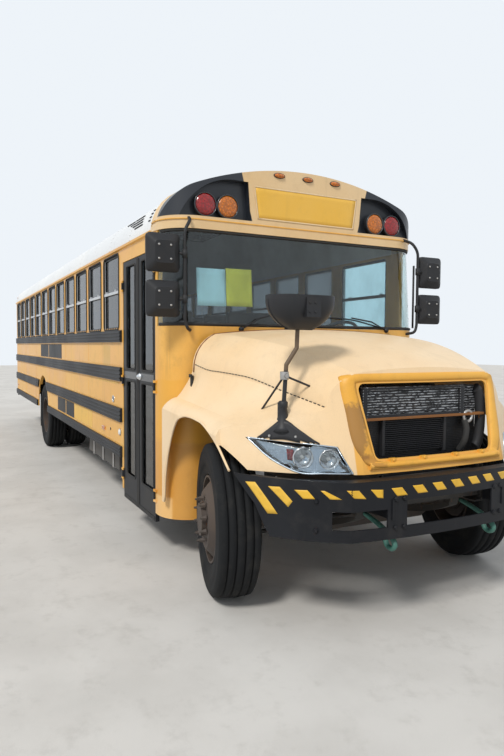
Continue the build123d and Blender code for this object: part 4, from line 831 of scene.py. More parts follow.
def laid(form: Form, surface: Surface, grid: Sequence[Sequence[Vector]], towards: Point, lift: float = 0.0015,
         sink: float = 0.0015, slot: int = 0) -> None:
    """Adds a thin closed sheet that follows a surface.

    Args:
        form: the form to add to.
        surface: the surface it lies on.
        grid: rows of points in front of the surface.
        towards: the direction in which they are laid on it.
        lift: how far its face stands off the surface.
        sink: how far its back lies in the surface.
        slot: the face slot.
    """
    hits = [[surface.cast(p, towards) for p in row] for row in grid]
    top, low = {}, {}
    for j, row in enumerate(hits):
        for i, hit in enumerate(row):
            if hit:
                top[i, j] = form.mesh.verts.new(hit[0] + hit[1] * lift)
                low[i, j] = form.mesh.verts.new(hit[0] - hit[1] * sink)
    cells = {(i, j) for j in range(len(hits) - 1) for i in range(len(hits[0]) - 1)
             if all(k in top for k in ((i, j), (i + 1, j), (i + 1, j + 1), (i, j + 1)))}
    for i, j in cells:
        ring = ((i, j), (i + 1, j), (i + 1, j + 1), (i, j + 1))
        for level, order in ((top, ring), (low, ring[::-1])):
            face = form.mesh.faces.new([level[k] for k in order])
            face.material_index, face.smooth = slot, True
        for k, beside in enumerate(((i, j - 1), (i + 1, j), (i, j + 1), (i - 1, j))):
            if beside not in cells:
                p, q = ring[k], ring[(k + 1) % 4]
                form.mesh.faces.new((top[q], top[p], low[p], low[q])).material_index = slot


def girdle(surface: Surface, x: float, axis_z: float, start: float, end: float, steps: int,
           lift: float = 0.0) -> list[Vector]:
    """Returns points round the outside of a surface at one station, from angle to angle in degrees."""
    points = []
    for step in range(steps + 1):
        angle = math.radians(start + (end - start) * step / steps)
        out = Vector((0.0, math.cos(angle), math.sin(angle)))
        points.append(surface.spot(Vector((x, 0.0, axis_z)) + out * 3.0, -out, lift))
    return [point for point in points if point is not None]


def pad(form: Form, low: Point, high: Point, edge: float, crown: float, slot: int = 0) -> None:
    """Adds a stuffed block, ready to be subdivided: crowned faces and pulled-in edges."""
    marks = [(a + crown, a + edge, b - edge, b - crown) for a, b in zip(low, high)]
    spots = {}
    for i in range(4):
        for j in range(4):
            for k in range(4):
                here = (i, j, k)
                if not {0, 3} & set(here):
                    continue
                place = [marks[axis][n] for axis, n in enumerate(here)]
                for axis, n in enumerate(here):
                    if n in (0, 3) and all(m in (1, 2) for other, m in enumerate(here) if other != axis):
                        place[axis] += crown if n == 3 else -crown
                spots[here] = form.mesh.verts.new(place)
    for axis in range(3):
        first, second = [a for a in range(3) if a != axis]
        for end in (0, 3):
            for i in range(3):
                for j in range(3):
                    ring = []
                    for di, dj in ((0, 0), (1, 0), (1, 1), (0, 1)):
                        key = [0, 0, 0]
                        key[axis], key[first], key[second] = end, i + di, j + dj
                        ring.append(spots[tuple(key)])
                    face = form.mesh.faces.new(ring)
                    face.material_index, face.smooth = slot, True


@dataclass
class Studio:
    """Pale floor, soft light and the camera."""

    place: Point = (8.629, -2.728, 1.668)
    yaw: float = -0.4701
    pitch: float = -0.0516
    roll: float = 0.0059
    focal_px: float = 614.0
    image_height: float = 756.0

    def camera(self) -> None:
        """Sets the camera at the photograph's viewing angle."""
        ahead = Vector((-math.cos(self.pitch) * math.cos(self.yaw),
                        -math.cos(self.pitch) * math.sin(self.yaw), math.sin(self.pitch))).normalized()
        right = ahead.cross(Vector((0.0, 0.0, 1.0))).normalized()
        up = right.cross(ahead)
        across_view = right * math.cos(self.roll) + up * math.sin(self.roll)
        up_view = up * math.cos(self.roll) - right * math.sin(self.roll)
        data = bpy.data.cameras.new("view")
        data.sensor_width = 36.0
        data.lens = self.focal_px / self.image_height * 36.0
        data.clip_end = 200.0
        eye = in_scene("view", data)
        eye.matrix_world = Matrix.Translation(self.place) @ Matrix(
            (across_view, up_view, -ahead)).transposed().to_4x4()
        bpy.context.scene.camera = eye

    def floor(self) -> None:
        """Lays the pale gravel floor."""
        form = Form("floor")
        form.box((-45.0, -45.0, -0.05), (45.0, 45.0, 0.0))
        data = bpy.data.meshes.new("floor")
        form.mesh.to_mesh(data)
        form.mesh.free()
        ground = in_scene("floor", data)
        data.materials.append(
            Finish("floor_finish", (0.60, 0.58, 0.55), (0.70, 0.68, 0.65), dirt=(0.42, 0.40, 0.37), fade=0.7,
                   streaks=0.0, grime=0.3, roughness=0.9, grain=1.0, bump=0.4).material())

    def light(self) -> None:
        """Lights the object softly from the sky, with one wide sun."""
        scene = bpy.context.scene
        world = bpy.data.worlds.new("sky")
        scene.world = world
        world.use_nodes = True
        graph = NodeGraph(world.node_tree)
        world.node_tree.nodes.clear()
        seen = graph.add("ShaderNodeLightPath")
        direct = graph.math("MAXIMUM", seen.outputs["Is Camera Ray"], seen.outputs["Is Transmission Ray"])
        direct = graph.math("MAXIMUM", direct, seen.outputs["Is Glossy Ray"])
        sky = graph.add("ShaderNodeBackground")
        sky.inputs["Color"].default_value = (0.90, 0.95, 1.0, 1.0)
        graph.feed(sky.inputs["Strength"], graph.ramp(direct, 0.0, 1.0, 0.62, 0.95))
        out = graph.add("ShaderNodeOutputWorld")
        graph.feed(out.inputs["Surface"], sky.outputs[0])
        data = bpy.data.lights.new("sun", "SUN")
        data.energy = 2.1
        data.angle = math.radians(12.0)
        data.color = (1.0, 0.97, 0.92)
        lamp = in_scene("sun", data)
        lamp.rotation_euler = [math.radians(a) for a in (38.0, 22.0, 10.0)]
        scene.view_settings.view_transform = "Standard"

    def build(self) -> None:
        """Sets up camera, floor and light."""
        self.camera()
        self.floor()
        self.light()


@dataclass
class Wheels:
    """Ribbed tyres and the nuts on the rims."""

    radius: float = 0.512
    half: float = 0.137
    bead: float = 0.29
    groove: float = 0.011
    groove_depth: float = 0.015
    grooves: tuple[float, ...] = (-0.078, -0.027, 0.027, 0.078)
    offset: float = 0.172
    kingpin: float = 0.86
    dual: tuple[float, ...] = (1.062, 0.722)
    stud_circle: float = 0.142875
    studs: int = 10

    def profile(self) -> list[tuple[float, float]]:
        """Returns the tyre's section as pairs of axial place and radius, closed round the casing."""
        r, h, b = self.radius, self.half, self.bead
        side = [(0.110, b + 0.001), (0.119, b + 0.010), (0.121, b + 0.024), (0.128, b + 0.040),
                (0.1315, b + 0.070), (0.1335, b + 0.071), (0.1355, b + 0.105), (h - 0.0005, r - 0.110),
                (0.1362, r - 0.085), (0.1335, r - 0.062), (0.1345, r - 0.060), (0.131, r - 0.040),
                (0.124, r - 0.024), (0.115, r - 0.012)]
        tread = []
        for g in self.grooves[::-1]:
            crown = r - 0.0105 * (g / 0.115) ** 2 - 0.0004
            wide = self.groove / 2
            tread += [(g + wide, crown), (g + wide * 0.6, crown - self.groove_depth),
                      (g - wide * 0.6, crown - self.groove_depth), (g - wide, crown)]
        mirrored = [(-x, z) for x, z in side[::-1]]
        return side + tread + mirrored + [(-0.09, b + 0.012), (0.09, b + 0.012), side[0]]

    def centre(self, end: str, side: int) -> tuple[Vector, Vector]:
        """Returns a wheel's centre and outward axis; rear wheels give the middle of the axle's end."""
        if end == "rear":
            return Vector((REAR_AXLE, side * self.dual[0], AXLE_Z)), Vector((0.0, side, 0.0))
        axis = Matrix.Rotation(STEER, 3, "Z") @ Vector((0.0, side, 0.0))
        return Vector((FRONT_AXLE, side * self.kingpin, AXLE_Z)) + axis * self.offset, axis

    def tyre(self, end: str, side: int) -> None:
        """Builds the tyre or twin tyres of one wheel body."""
        place = f"{end}_{HAND[side]}"
        form = Form("ribbed_tyre_" + place)
        centre, axis = self.centre(end, side)
        for inward in (0.0, self.dual[0] - self.dual[1]) if end == "rear" else (0.0,):
            form.lathe(self.profile(), centre - axis * inward, axis, 88)
        piece = form.make("wheel_" + place, Paints.TYRE, slot_name="tyre_rubber")
        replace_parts(piece, "tyre_" + place)

    def nuts(self, end: str, side: int) -> None:
        """Sets the nuts and the stud ends round one hub."""
        place = f"{end}_{HAND[side]}"
        centre, axis = self.centre(end, side)
        disc = Surface("rim_" + place)
        up = Vector((0.0, 0.0, 1.0))
        level = axis.cross(up)
        spots = []
        for k in range(self.studs):
            turn = 2 * math.pi * k / self.studs
            between = turn + math.pi / self.studs
            probe = centre + axis * 0.6 + (
                up * math.cos(between) + level * math.sin(between)) * self.stud_circle
            found = disc.spot(probe, -axis)
            if found is not None:
                out = (up * math.cos(turn) + level * math.sin(turn)) * self.stud_circle
                spots.append((centre + axis * ((found - centre).dot(axis) + 0.011) + out, axis))
        REPEAT.heads("nuts_" + place, "wheel_" + place, spots, 0.019, 0.022, Paints.RIM, 6)
        ends = [(spot + axis * 0.018, out) for spot, out in spots]
        REPEAT.heads("stud_ends_" + place, "wheel_" + place, ends, 0.010, 0.022, Paints.AXLE, 8)

    def build(self) -> None:
        """Builds every wheel's pieces."""
        for side in SIDES:
            for end in ("front", "rear"):
                self.tyre(end, side)
                self.nuts(end, side)
                paint_nodes(Paints.RIM, f"rim_{end}_{HAND[side]}")
            paint_nodes(Paints.AXLE, "knuckle_" + HAND[side])


@dataclass
class Sides:
    """Rivets, rail ribs, painted panels and window bars of both side walls."""

    rails: Pairs = ((1.755, 0.110), (1.399, 0.130), (1.016, 0.130), (0.672, 0.100))
    rail_face: float = 1.241
    rivet_pitch: float = 0.089
    arch_half: float = 0.52
    window_pitch: float = 0.711
    window_first: float = 2.599
    window_count: int = 12
    driver_window: float = 3.448

    def ends(self, side: int) -> tuple[float, float]:
        """Returns the rear and front end of a side wall's sheets."""
        return SIDE_REAR, (DOOR_REAR if side < 0 else DOOR_FRONT) - 0.04

    def off_arch(self, x: float, z: float, margin: float = 0.06) -> bool:
        """Tells whether a spot lies outside the rear arch."""
        across_arch = abs(x - REAR_AXLE) / (self.arch_half + margin)
        return across_arch > 1 or z > 0.62 + (1.167 - 0.62 + margin) * math.sqrt(max(0.0, 1 - across_arch**2))

    def rivets(self, side: int) -> None:
        """Sets the rivet rows above and below each rail, and over the windows."""
        low, high = self.ends(side)
        rows = [z + s * (h / 2 + 0.018) for z, h in self.rails for s in (1, -1)]
        rows += [2.585]
        spots = []
        for z in rows:
            count = int((high - low) / self.rivet_pitch)
            for k in range(count):
                x = low + 0.03 + k * self.rivet_pitch
                if self.off_arch(x, z) and z > 0.63:
                    spots.append(((x, side * HALF_WIDTH, z), (0.0, side, 0.0)))
        REPEAT.heads("wall_rivets_" + HAND[side], BODY, spots, 0.0065, 0.005, Paints.BODY, 6)

    def ribs(self, side: int) -> None:
        """Adds the pressed ribs on the rub rails and the drip rail over the windows."""
        form = Form("rail_ribs_" + HAND[side])
        low, high = self.ends(side)
        for z, height in self.rails:
            for shift in (-0.28, 0.0, 0.28):
                level = z + shift * height
                runs = [(low + 0.01, high - 0.01)]
                if not self.off_arch(REAR_AXLE, level, 0.045):
                    reach = 0.57
                    runs = [(low + 0.01, REAR_AXLE - reach), (REAR_AXLE + reach, high - 0.01)]
                for x0, x1 in runs:
                    face = side * self.rail_face
                    form.prism(
                        [(x0, face - side * 0.001, level - 0.010), (x0, face + side * 0.005, level - 0.004),
                         (x0, face + side * 0.005, level + 0.004), (x0, face - side * 0.001, level + 0.010)],
                        (x1 - x0, 0.0, 0.0))
        form.make(BODY, Paints.BLACK_TRIM, slot_name="black_paint")
        drip = Form("drip_rail_" + HAND[side])
        front = 3.9
        profile = [(0.0, 2.548), (0.020, 2.556), (0.022, 2.575), (0.015, 2.578), (0.012, 2.568), (0.0, 2.566)]
        drip.prism([(SIDE_REAR, side * (HALF_WIDTH + y - 0.001), z) for y, z in profile],
                   (front - SIDE_REAR, 0.0, 0.0))
        drip.make(BODY, Paints.BODY, slot_name="body_yellow")

    def laps(self, side: int) -> None:
        """Adds the lap joints of the side sheets."""
        form = Form("sheet_laps_" + HAND[side])
        low, high = self.ends(side)
        stations = [self.window_first + self.window_pitch / 2 - k * self.window_pitch
                    for k in range(0, self.window_count + 1, 2)]
        for x in stations:
            if not low + 0.1 < x < high - 0.05:
                continue
            for (z1, h1), (z0, h0) in zip(self.rails, self.rails[1:]):
                if self.off_arch(x, (z0 + z1) / 2, 0.08):
                    form.box((x - 0.016, side * HALF_WIDTH - side * 0.002, z0 + h0 / 2 + 0.002),
                             (x + 0.016, side * (HALF_WIDTH + 0.0016), z1 - h1 / 2 - 0.002))
        form.make(BODY, Paints.BODY, slot_name="body_yellow")

    def window_trim(self, side: int) -> None:
        """Adds the rubber round each window, its aluminium meeting bar and its latches."""
        rubber = Form("window_rubber_" + HAND[side])
        bars = Form("window_bars_" + HAND[side])
        rows = [(self.window_first - k * self.window_pitch, 0.59) for k in range(self.window_count)]
        if side > 0:
            rows.insert(0, (self.driver_window, 0.76))
        face = side * (HALF_WIDTH - 0.009)
        for x, width in rows:
            half = width / 2
            rubber.tube(pane((x, side * (HALF_WIDTH + 0.001), WINDOW_Z), (half, 0.0, 0.0),
                             (0.0, 0.0, WINDOW_HALF), 0.06), 0.0085, 6, closed=True)
            bars.box((x - half + 0.02, face, WINDOW_Z - 0.016),
                     (x + half - 0.02, face + side * 0.012, WINDOW_Z + 0.012))
            for hand in (-1, 1):
                bars.box((x + hand * (half - 0.022), face, WINDOW_Z - 0.34),
                         (x + hand * (half - 0.032), face + side * 0.005, WINDOW_Z + 0.34))
            for at in (x - half + 0.12, x + half - 0.12):
                bars.box(
                    (at - 0.02, face, WINDOW_Z + 0.012), (at + 0.02, face + side * 0.016, WINDOW_Z + 0.026))
        rubber.make(BODY, Paints.RUBBER)
        bars.make(BODY, Paints.ALUMINIUM, bevel=0.0015, slot_name="sash_metal")

    def marks(self) -> None:
        """Adds the painted-out name bands, the blank yellow panel, lamps and vents of the right side."""
        bands = Form("name_bands")
        for side in SIDES:
            skin = side * (HALF_WIDTH + 0.0014)
            for x0, x1, z0, z1 in ((-2.144, -0.186, 1.478, 1.685), (-0.531, 0.672, 0.742, 0.936)):
                bands.box((x0, side * (HALF_WIDTH - 0.002), z0), (x1, skin, z1), 0)
            bands.box((0.717, side * (HALF_WIDTH - 0.002), 0.746), (1.710, skin, 0.936), 1)
        bands.box((2.008, -HALF_WIDTH + 0.002, 1.300), (2.850, -HALF_WIDTH - 0.0015, 1.320), 1)
        bands.make(BODY, Paints.BLACK_TRIM, Paints.SIGN, bevel=0.0006)
        lamps = Form("side_lamps")
        lamps.lathe([(-0.004, 0.028), (0.010, 0.028), (0.014, 0.022), (0.016, 0.0)],
                    (2.908, -HALF_WIDTH, 0.850), (0, -1, 0), 20, 0)
        lamps.lathe(
            [(-0.004, 0.034), (0.006, 0.034), (0.007, 0.030)], (2.908, -HALF_WIDTH, 0.850), (0, -1, 0), 20, 2)
        for side in SIDES:
            for x in (2.267, -5.50):
                lamps.box((x - 0.05, side * (HALF_WIDTH - 0.003), 0.797),
                          (x + 0.05, side * (HALF_WIDTH + 0.012), 0.837), 1)
            lamps.box(
                (-5.57, side * (HALF_WIDTH - 0.003), 2.66), (-5.49, side * (HALF_WIDTH - 0.010), 2.69), 1)
        lamps.make(BODY, Paints.WHITE, Paints.AMBER, Paints.BLACK_TRIM, bevel=0.002)
        port = Form("oval_port")
        ring = [(2.6705 + 0.034 * c, -HALF_WIDTH - 0.003, 1.1475 + 0.029 * s) for c, s in circle(24)]
        port.tube(ring, 0.006, 8, 0, closed=True)
        port.prism([(x, -HALF_WIDTH + 0.002, z) for x, _, z in ring], (0.0, -0.003, 0.0), 1)
        port.lathe(
            [(-0.002, 0.015), (0.0025, 0.015), (0.003, 0.0)], (2.546, -HALF_WIDTH, 0.837), (0, -1, 0), 16, 1)
        port.make(BODY, Paints.CHROME, Paints.BLACK_TRIM)

    def build(self) -> None:
        """Builds both sides."""
        for side in SIDES:
            self.rivets(side)
            self.ribs(side)
            self.laps(side)
            self.window_trim(side)
        self.marks()
        paint_nodes(Paints.BODY, "side_wall_right", "side_wall_left")
        paint_nodes(Paints.BLACK_TRIM, "rub_rails", "window_sashes")
        paint_nodes(Paints.WINDOW, "window_glass")


@dataclass
class Roof:
    """Roof bows, hatch fittings and static vents."""

    bow_pitch: float = 0.711
    bow_width: float = 0.03
    louvres: tuple[tuple[float, float, float], ...] = (
        (2.97, 3.50, 2.768), (3.15, 3.53, 2.724), (3.26, 3.555, 2.689), (3.355, 3.585, 2.654))
    slots: tuple[float, ...] = (2.649, 2.684, 2.721, 2.758)

    def bows(self, skin: Surface) -> None:
        """Lays the roof's cross seams and their rivets."""
        form = Form("roof_seams")
        spots = []
        for k in range(13):
            x = SIDE_REAR + 0.4 + k * self.bow_pitch
            if any(abs(x - c) < 0.42 for c in (1.5, -3.6)):
                reach = ((18.0, 68.0), (112.0, 162.0))
            else:
                reach = ((18.0, 162.0),)
            for low, high in reach:
                steps = int((high - low) / 4)
                self.ribbon(form, skin, x, low, high, steps)
                for place in girdle(skin, x - 0.008, 2.2, low, high, steps * 2, 0.002):
                    spots.append((place, (0.0, place[1], place[2] - 2.2)))
        form.make(BODY, Paints.ROOF, slot_name="roof_white")
        REPEAT.heads("roof_rivets", BODY, spots, 0.0065, 0.005, Paints.ROOF, 6)

    def ribbon(self, form: Form, skin: Surface, x: float, low: float, high: float, steps: int) -> None:
        """Lays one seam strip over the roof."""
        half = self.bow_width / 2
        rows = []
        for shift, lift in ((-half, -0.002), (-half, 0.002), (half, 0.002), (half, -0.002)):
            rows.append(girdle(skin, x + shift, 2.2, low, high, steps, lift))
        if len({len(row) for row in rows}) == 1:
            form.skin([list(p) for p in zip(*rows)], 0, smooth=False)
            for row in (0, -1):
                form.faces([r[row] for r in rows], [(0, 1, 2, 3)])

    def vents(self, skin: Surface) -> None:
        """Sets the louvres and the column of short slots each side of the roof front."""
        form = Form("roof_vents")
        for side in SIDES:
            for x0, x1, z in self.louvres + tuple((3.762, 3.802, z) for z in self.slots):
                path = [skin.spot((x0 + (x1 - x0) * k / 6, side * 1.7, z + 0.25), (0.0, -side, -0.45), 0.002)
                        for k in range(7)]
                form.tube([p for p in path if p is not None], 0.0065, 6)
        form.make(BODY, Paints.BLACK_TRIM)

    def hatches(self) -> None:
        """Adds the crowned caps of both hatch lids."""
        for body, node in (("hatch_front", "roof_hatch_front"), ("hatch_rear", "roof_hatch_rear")):
            low, high = (Vector(c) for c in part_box(node))
            form = Form(node + "_cap")
            middle, half = (low + high) / 2, (high - low) / 2
            rings = []
            for inset, drop in ((0.012, 0.004), (0.05, -0.001), (0.09, -0.001), (0.12, 0.004), (0.30, 0.0)):
                rings.append(pane((middle.x, middle.y, high.z - drop), (half.x - inset, 0.0, 0.0),
                                  (0.0, inset - half.y, 0.0), 0.08))
            base = [(p[0], p[1], high.z - 0.012) for p in rings[0]]
            form.skin([base] + rings, 0)
            form.faces(rings[-1], [list(range(len(base)))])
            form.faces(base, [list(range(len(base)))[::-1]])
            form.make(body, Paints.ROOF, slot_name="roof_white")
        paint_nodes(Paints.ROOF, "roof_hatch_front", "roof_hatch_rear", "roof")
        paint_nodes(Paints.BLACK_TRIM, "hatch_kerbs")

    def build(self) -> None:
        """Builds the roof's pieces."""
        skin = Surface("roof")
        self.bows(skin)
        self.vents(skin)
        self.hatches()


def flowing(points: Sequence[Point], steps: int = 6) -> list[Vector]:
    """Returns a smooth path through the points."""
    ends = [Vector(p) for p in points]
    ends = [ends[0] * 2 - ends[1]] + ends + [ends[-1] * 2 - ends[-2]]
    path = []
    for a, b, c, d in zip(ends, ends[1:], ends[2:], ends[3:]):
        for step in range(steps):
            t = step / steps
            path.append(0.5 * (b * 2 + (c - a) * t + (a * 2 - b * 5 + c * 4 - d) * t**2
                               + (b * 3 - a - c * 3 + d) * t**3))
    return path + [ends[-2]]


@dataclass
class Hood:
    """Seams, grille surround, tabs, fender lips, latches and cowl gasket, which is drawn thin and dark as
    painted shade.
    """

    body: str = "hood_assembly"
    grille_edge: Pairs = ((0.0, 1.458), (0.30, 1.458), (0.500, 1.456), (0.536, 1.425), (0.508, 1.24),
                          (0.488, 1.12), (0.470, 1.03), (0.430, 0.999), (0.25, 0.996), (0.0, 0.996))
    outer_edge: Pairs = ((0.0, 1.512), (0.33, 1.511), (0.575, 1.503), (0.630, 1.455), (0.618, 1.28),
                         (0.606, 1.13), (0.572, 1.040), (0.505, 0.972), (0.25, 0.966), (0.0, 0.966))
    surround_lifts: tuple[float, ...] = (0.003, 0.011, 0.013, 0.011, 0.003)
    seam: Pairs = ((4.40, 1.042), (4.561, 1.015), (4.701, 0.984), (4.85, 0.945), (4.985, 0.906),
                   (5.112, 0.868), (5.235, 0.83), (5.348, 0.796), (5.462, 0.761), (5.60, 0.716))
    opening: Pairs = (
        (-0.735, 0.49), (-0.712, 0.68), (-0.655, 0.86), (-0.56, 1.03), (-0.455, 1.14), (-0.33, 1.178),
        (-0.21, 1.185), (-0.08, 1.178), (0.04, 1.158), (0.24, 1.070), (0.43, 0.935))

    def surround(self, skin: Surface) -> None:
        """Lays the grille surround round its opening."""
        form = Form("grille_surround")
        inner, outer = ([(AHEAD_X, y, z) for y, z in edge] + [(AHEAD_X, -y, z) for y, z in edge[-2::-1]]
                        for edge in (self.grille_edge, self.outer_edge))
        lines = list(zip(flowing(inner, 4)[:-1], flowing(outer, 4)[:-1]))
        rows = []
        for k, lift in enumerate(self.surround_lifts):
            share = 0.04 + 0.92 * k / (len(self.surround_lifts) - 1)
            row = []
            for a, b in lines:
                found = skin.cast(a.lerp(b, share), REARWARD)
                raised = min(1.0, max(0.15, (found[0].z - 1.0) / 0.08)) if found else 0.0
                row.append(found[0] + found[1] * lift * raised if found else None)
            rows.append(row)
        behind = Vector((0.006, 0.0, 0.0))
        strip = [[*line, line[-1] - behind, line[0] - behind] for line in zip(*rows)
                 if all(p is not None for p in line)]
        form.skin(strip, 0, closed=True)
        form.make(self.body, Paints.SURROUND, slot_name="hood_faded")

    def tabs(self) -> None:
        """Adds the tabs and screws that hold the tube under the grille."""
        form = Form("grille_tabs")
        for y in (-0.36, -0.13, 0.13, 0.36):
            x = 5.813 - 0.02 * max(0.0, abs(y) - 0.26) / 0.26
            form.box((x - 0.012, y - 0.022, 0.990), (x + 0.012, y + 0.022, 1.016))
            form.lathe([(-0.002, 0.009), (0.005, 0.009), (0.006, 0.0)], (x + 0.012, y, 1.005), (1, 0, 0), 12)
        form.make(self.body, Paints.SURROUND, bevel=0.002, slot_name="hood_faded")

    def seams(self, skin: Surface) -> None:
        """Lays the stitched-looking panel seams and the rubber gasket at the cowl, a thin dark-brown tube that
        paints the soft shade along the joint.
        """
        for side in SIDES:
            path = [skin.spot((x, side * y, 4.0), (0.0, 0.0, -1.0), 0.002) for x, y in self.seam]
            path = flowing([p for p in path if p is not None], 5)
            REPEAT.blocks(
                "hood_seam_" + HAND[side], self.body, path, 0.032, (0.005, 0.005, 0.020), Paints.BLACK_TRIM)
        # Cowl gasket: partly the real joint, partly painted shade; its thin dark-brown line stands for the
        # soft shadow along the joint.
        band = Form("cowl_gasket_shade_line")
        band.tube(girdle(skin, 4.372, 1.25, 12.0, 168.0, 44, 0.001), 0.006, 6)
        band.make(self.body, Paints.LINER)

    def fender_lips(self) -> None:
        """Rolls the edge of each wheel opening."""
        for side in SIDES:
            form = Form("fender_lip_" + HAND[side])
            path = flowing([(FRONT_AXLE + x, side * 1.2225, z) for x, z in self.opening], 4)
            form.tube(path, 0.0075, 8)
            form.make(self.body, Paints.HOOD, slot_name="hood_faded")

    def latches(self, skin: Surface) -> None:
        """Adds the rubber latch on each side of the hood."""
        form = Form("hood_latches")
        for side in SIDES:
            found = skin.cast((4.42, side * 2.0, 1.40), (0.0, -side, 0.0))
            if not found:
                continue
            at, out = found
            x, y, z = at
            form.box((x - 0.055, y - side * 0.002, z - 0.05), (x - 0.025, y + side * 0.016, z + 0.05), 0)
            form.box((x - 0.060, y + side * 0.010, z + 0.035), (x - 0.020, y + side * 0.026, z + 0.060), 0)
            form.box((x - 0.065, y - side * 0.002, z - 0.075), (x - 0.015, y + side * 0.012, z - 0.045), 1)
        form.make(self.body, Paints.RUBBER, Paints.STEEL, bevel=0.003)

    def build(self) -> None:
        """Builds the hood's pieces."""
        skin = Surface("hood")
        self.surround(skin)
        self.tabs()
        self.seams(skin)
        self.fender_lips()
        self.latches(skin)
        paint_nodes(Paints.HOOD, "hood")


@dataclass
class Headlights:
    """Lamp units: bright pan, two reflector bowls, small red reflector and clear cover."""

    body: str = "hood_assembly"
    top: Pairs = ((0.672, 1.083), (0.80, 1.098), (0.95, 1.112), (1.088, 1.121))
    low: Pairs = ((0.616, 0.936), (0.76, 0.935), (0.878, 0.936), (0.996, 1.005), (1.084, 1.112))
    bowls: tuple[tuple[float, float, float], ...] = ((0.725, 1.012, 0.056), (0.850, 1.018, 0.058))
    reflector: Pairs = ((0.925, 1.068), (0.895, 1.068), (0.900, 1.004), (0.926, 1.004))

    def grid(self, side: int, columns: int, rows: int) -> list[list[Vector]]:
        """Returns points in front of the lamp, from its upper to its lower edge."""
        top, low = (flowing([(AHEAD_X, side * y, z) for y, z in edge], 8) for edge in (self.top, self.low))

        def along(path: list[Vector], share: float) -> Vector:
            """Returns the point at a share of the path."""
            spot = share * (len(path) - 1)
            index = min(int(spot), len(path) - 2)
            return path[index].lerp(path[index + 1], spot - index)

        return [[along(top, i / columns).lerp(along(low, i / columns), j / rows) for i in range(columns + 1)]
                for j in range(rows + 1)]

    def build(self) -> None:
        """Builds both lamps."""
        skin = Surface("headlights")
        unit, cover, rim = Form("headlight_units"), Form("headlight_covers"), Form("headlight_bezels")
        for side in SIDES:
            laid(unit, skin, self.grid(side, 20, 8), REARWARD, -0.046, 0.052)
            laid(cover, skin, self.grid(side, 26, 9), REARWARD, 0.0008, 0.002)
            axis = Vector((1.0, side * 0.35, 0.0)).normalized()
            for y, z, radius in self.bowls:
                found = skin.ahead(side * y, z)
                if found is not None:
                    cup = [(0.0, 0.004), (0.004, radius * 0.35), (0.012, radius * 0.62),
                           (0.026, radius * 0.86), (0.038, radius * 0.98), (0.040, radius * 1.06),
                           (0.030, radius * 1.08), (0.0, radius * 0.9)]
                    unit.lathe(cup, found - axis * 0.048, axis, 28, 1)
                    unit.lathe([(0.002, 0.012), (0.022, 0.012), (0.030, 0.007), (0.032, 0.0)],
                               found - axis * 0.048, axis, 14, 2)
            spot = across([(AHEAD_X, side * y, z) for y, z in self.reflector], 3, 4)
            laid(unit, skin, spot, REARWARD, -0.008, 0.014, 3)
            top, low = self.grid(side, 30, 1)
            edge = [skin.spot(p, REARWARD, 0.001) for p in top + low[::-1]]
            rim.tube([p for p in edge if p is not None], 0.005, 6, closed=True)
        unit.make(self.body, Paints.PAN, Paints.CHROME, Paints.WHITE, Paints.RED)
        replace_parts(cover.make(self.body, Paints.CLEAR, slot_name="lens"), "headlights")
        rim.make(self.body, Paints.PAN)


@dataclass
class Bumper:
    """Warning stripes, bolts, lower lip and tow hooks of the front bumper; the rear one's strip."""

    drop: float = 0.048
    run: float = 0.040
    wide: float = 0.072
    worn: tuple[Pairs, ...] = (
        ((-1.158, 0.862), (-1.148, 0.862), (-1.125, 0.745), (-1.130, 0.745)),
        ((-1.131, 0.870), (-1.098, 0.876), (-1.015, 0.707), (-1.053, 0.702)),
        ((-1.052, 0.862), (-1.008, 0.866), (-0.958, 0.789), (-0.975, 0.754)),
        ((-0.951, 0.857), (-0.898, 0.861), (-0.865, 0.813), (-0.915, 0.810)),
        ((-0.842, 0.862), (-0.825, 0.863), (-0.746, 0.817), (-0.800, 0.816)),
        ((-0.726, 0.869), (-0.658, 0.867), (-0.611, 0.816), (-0.687, 0.824)),
        ((-0.584, 0.867), (-0.504, 0.861), (-0.503, 0.813), (-0.539, 0.818)))
    whole: Pairs = (
        (-0.450, 0.865), (-0.305, 0.869), (-0.161, 0.873), (-0.019, 0.878), (0.121, 0.882), (0.251, 0.885),
        (0.392, 0.885), (0.536, 0.885), (0.680, 0.884), (0.822, 0.882), (0.960, 0.880))

    def stripes(self) -> list[Pairs]:
        """Returns the corners of every stripe, across and up."""
        rest = [((y, z), (y + self.wide, z + 0.001), (y + self.wide + self.run, z - self.drop + 0.001),
                 (y + self.run, z - self.drop)) for y, z in self.whole]
        return [*self.worn, *rest]

    def build(self) -> None:
        """Builds the bumpers' pieces."""
        skin = Surface("front_bumper")
        form = Form("warning_stripes")
        for corners in self.stripes():
            laid(form, skin, across([(AHEAD_X, y, z) for y, z in corners], 6, 6), REARWARD, 0.0008, 0.001)
        form.make(BODY, Paints.STRIPE)
        found = [skin.cast((AHEAD_X, y, z), REARWARD) for y in (-0.86, -0.42, -0.36, 0.36, 0.42, 0.86)
                 for z in (0.80, 0.635)]
        bolts = [(hit[0] + hit[1] * 0.004, hit[1]) for hit in found if hit]
        REPEAT.heads("bumper_bolts", BODY, bolts, 0.016, 0.010, Paints.BUMPER, 6)
        lip = Form("bumper_lip")
        row = [skin.ahead(-0.98 + 1.96 * step / 60, 0.592, -0.0105) for step in range(61)]
        lip.tube([p for p in row if p is not None], 0.010, 8)
        lip.make(BODY, Paints.BUMPER)
        hooks = Form("tow_hooks")
        for side in SIDES:
            y = side * 0.40
            hooks.tube(flowing([(5.60, y, 0.64), (5.76, y, 0.60), (5.86, y, 0.556), (5.885, y, 0.52),
                                (5.86, y, 0.495), (5.82, y, 0.50), (5.80, y, 0.53)], 5), 0.016, 10)
        hooks.make(BODY, Paints.HOOK)
        rear = Form("rear_step_pad")
        rear.box((-5.925, -1.15, 0.7995), (-5.815, 1.15, 0.806))
        rear.make(BODY, Paints.RUBBER, bevel=0.002)
        paint_nodes(Paints.BUMPER, "front_bumper", "rear_bumper")


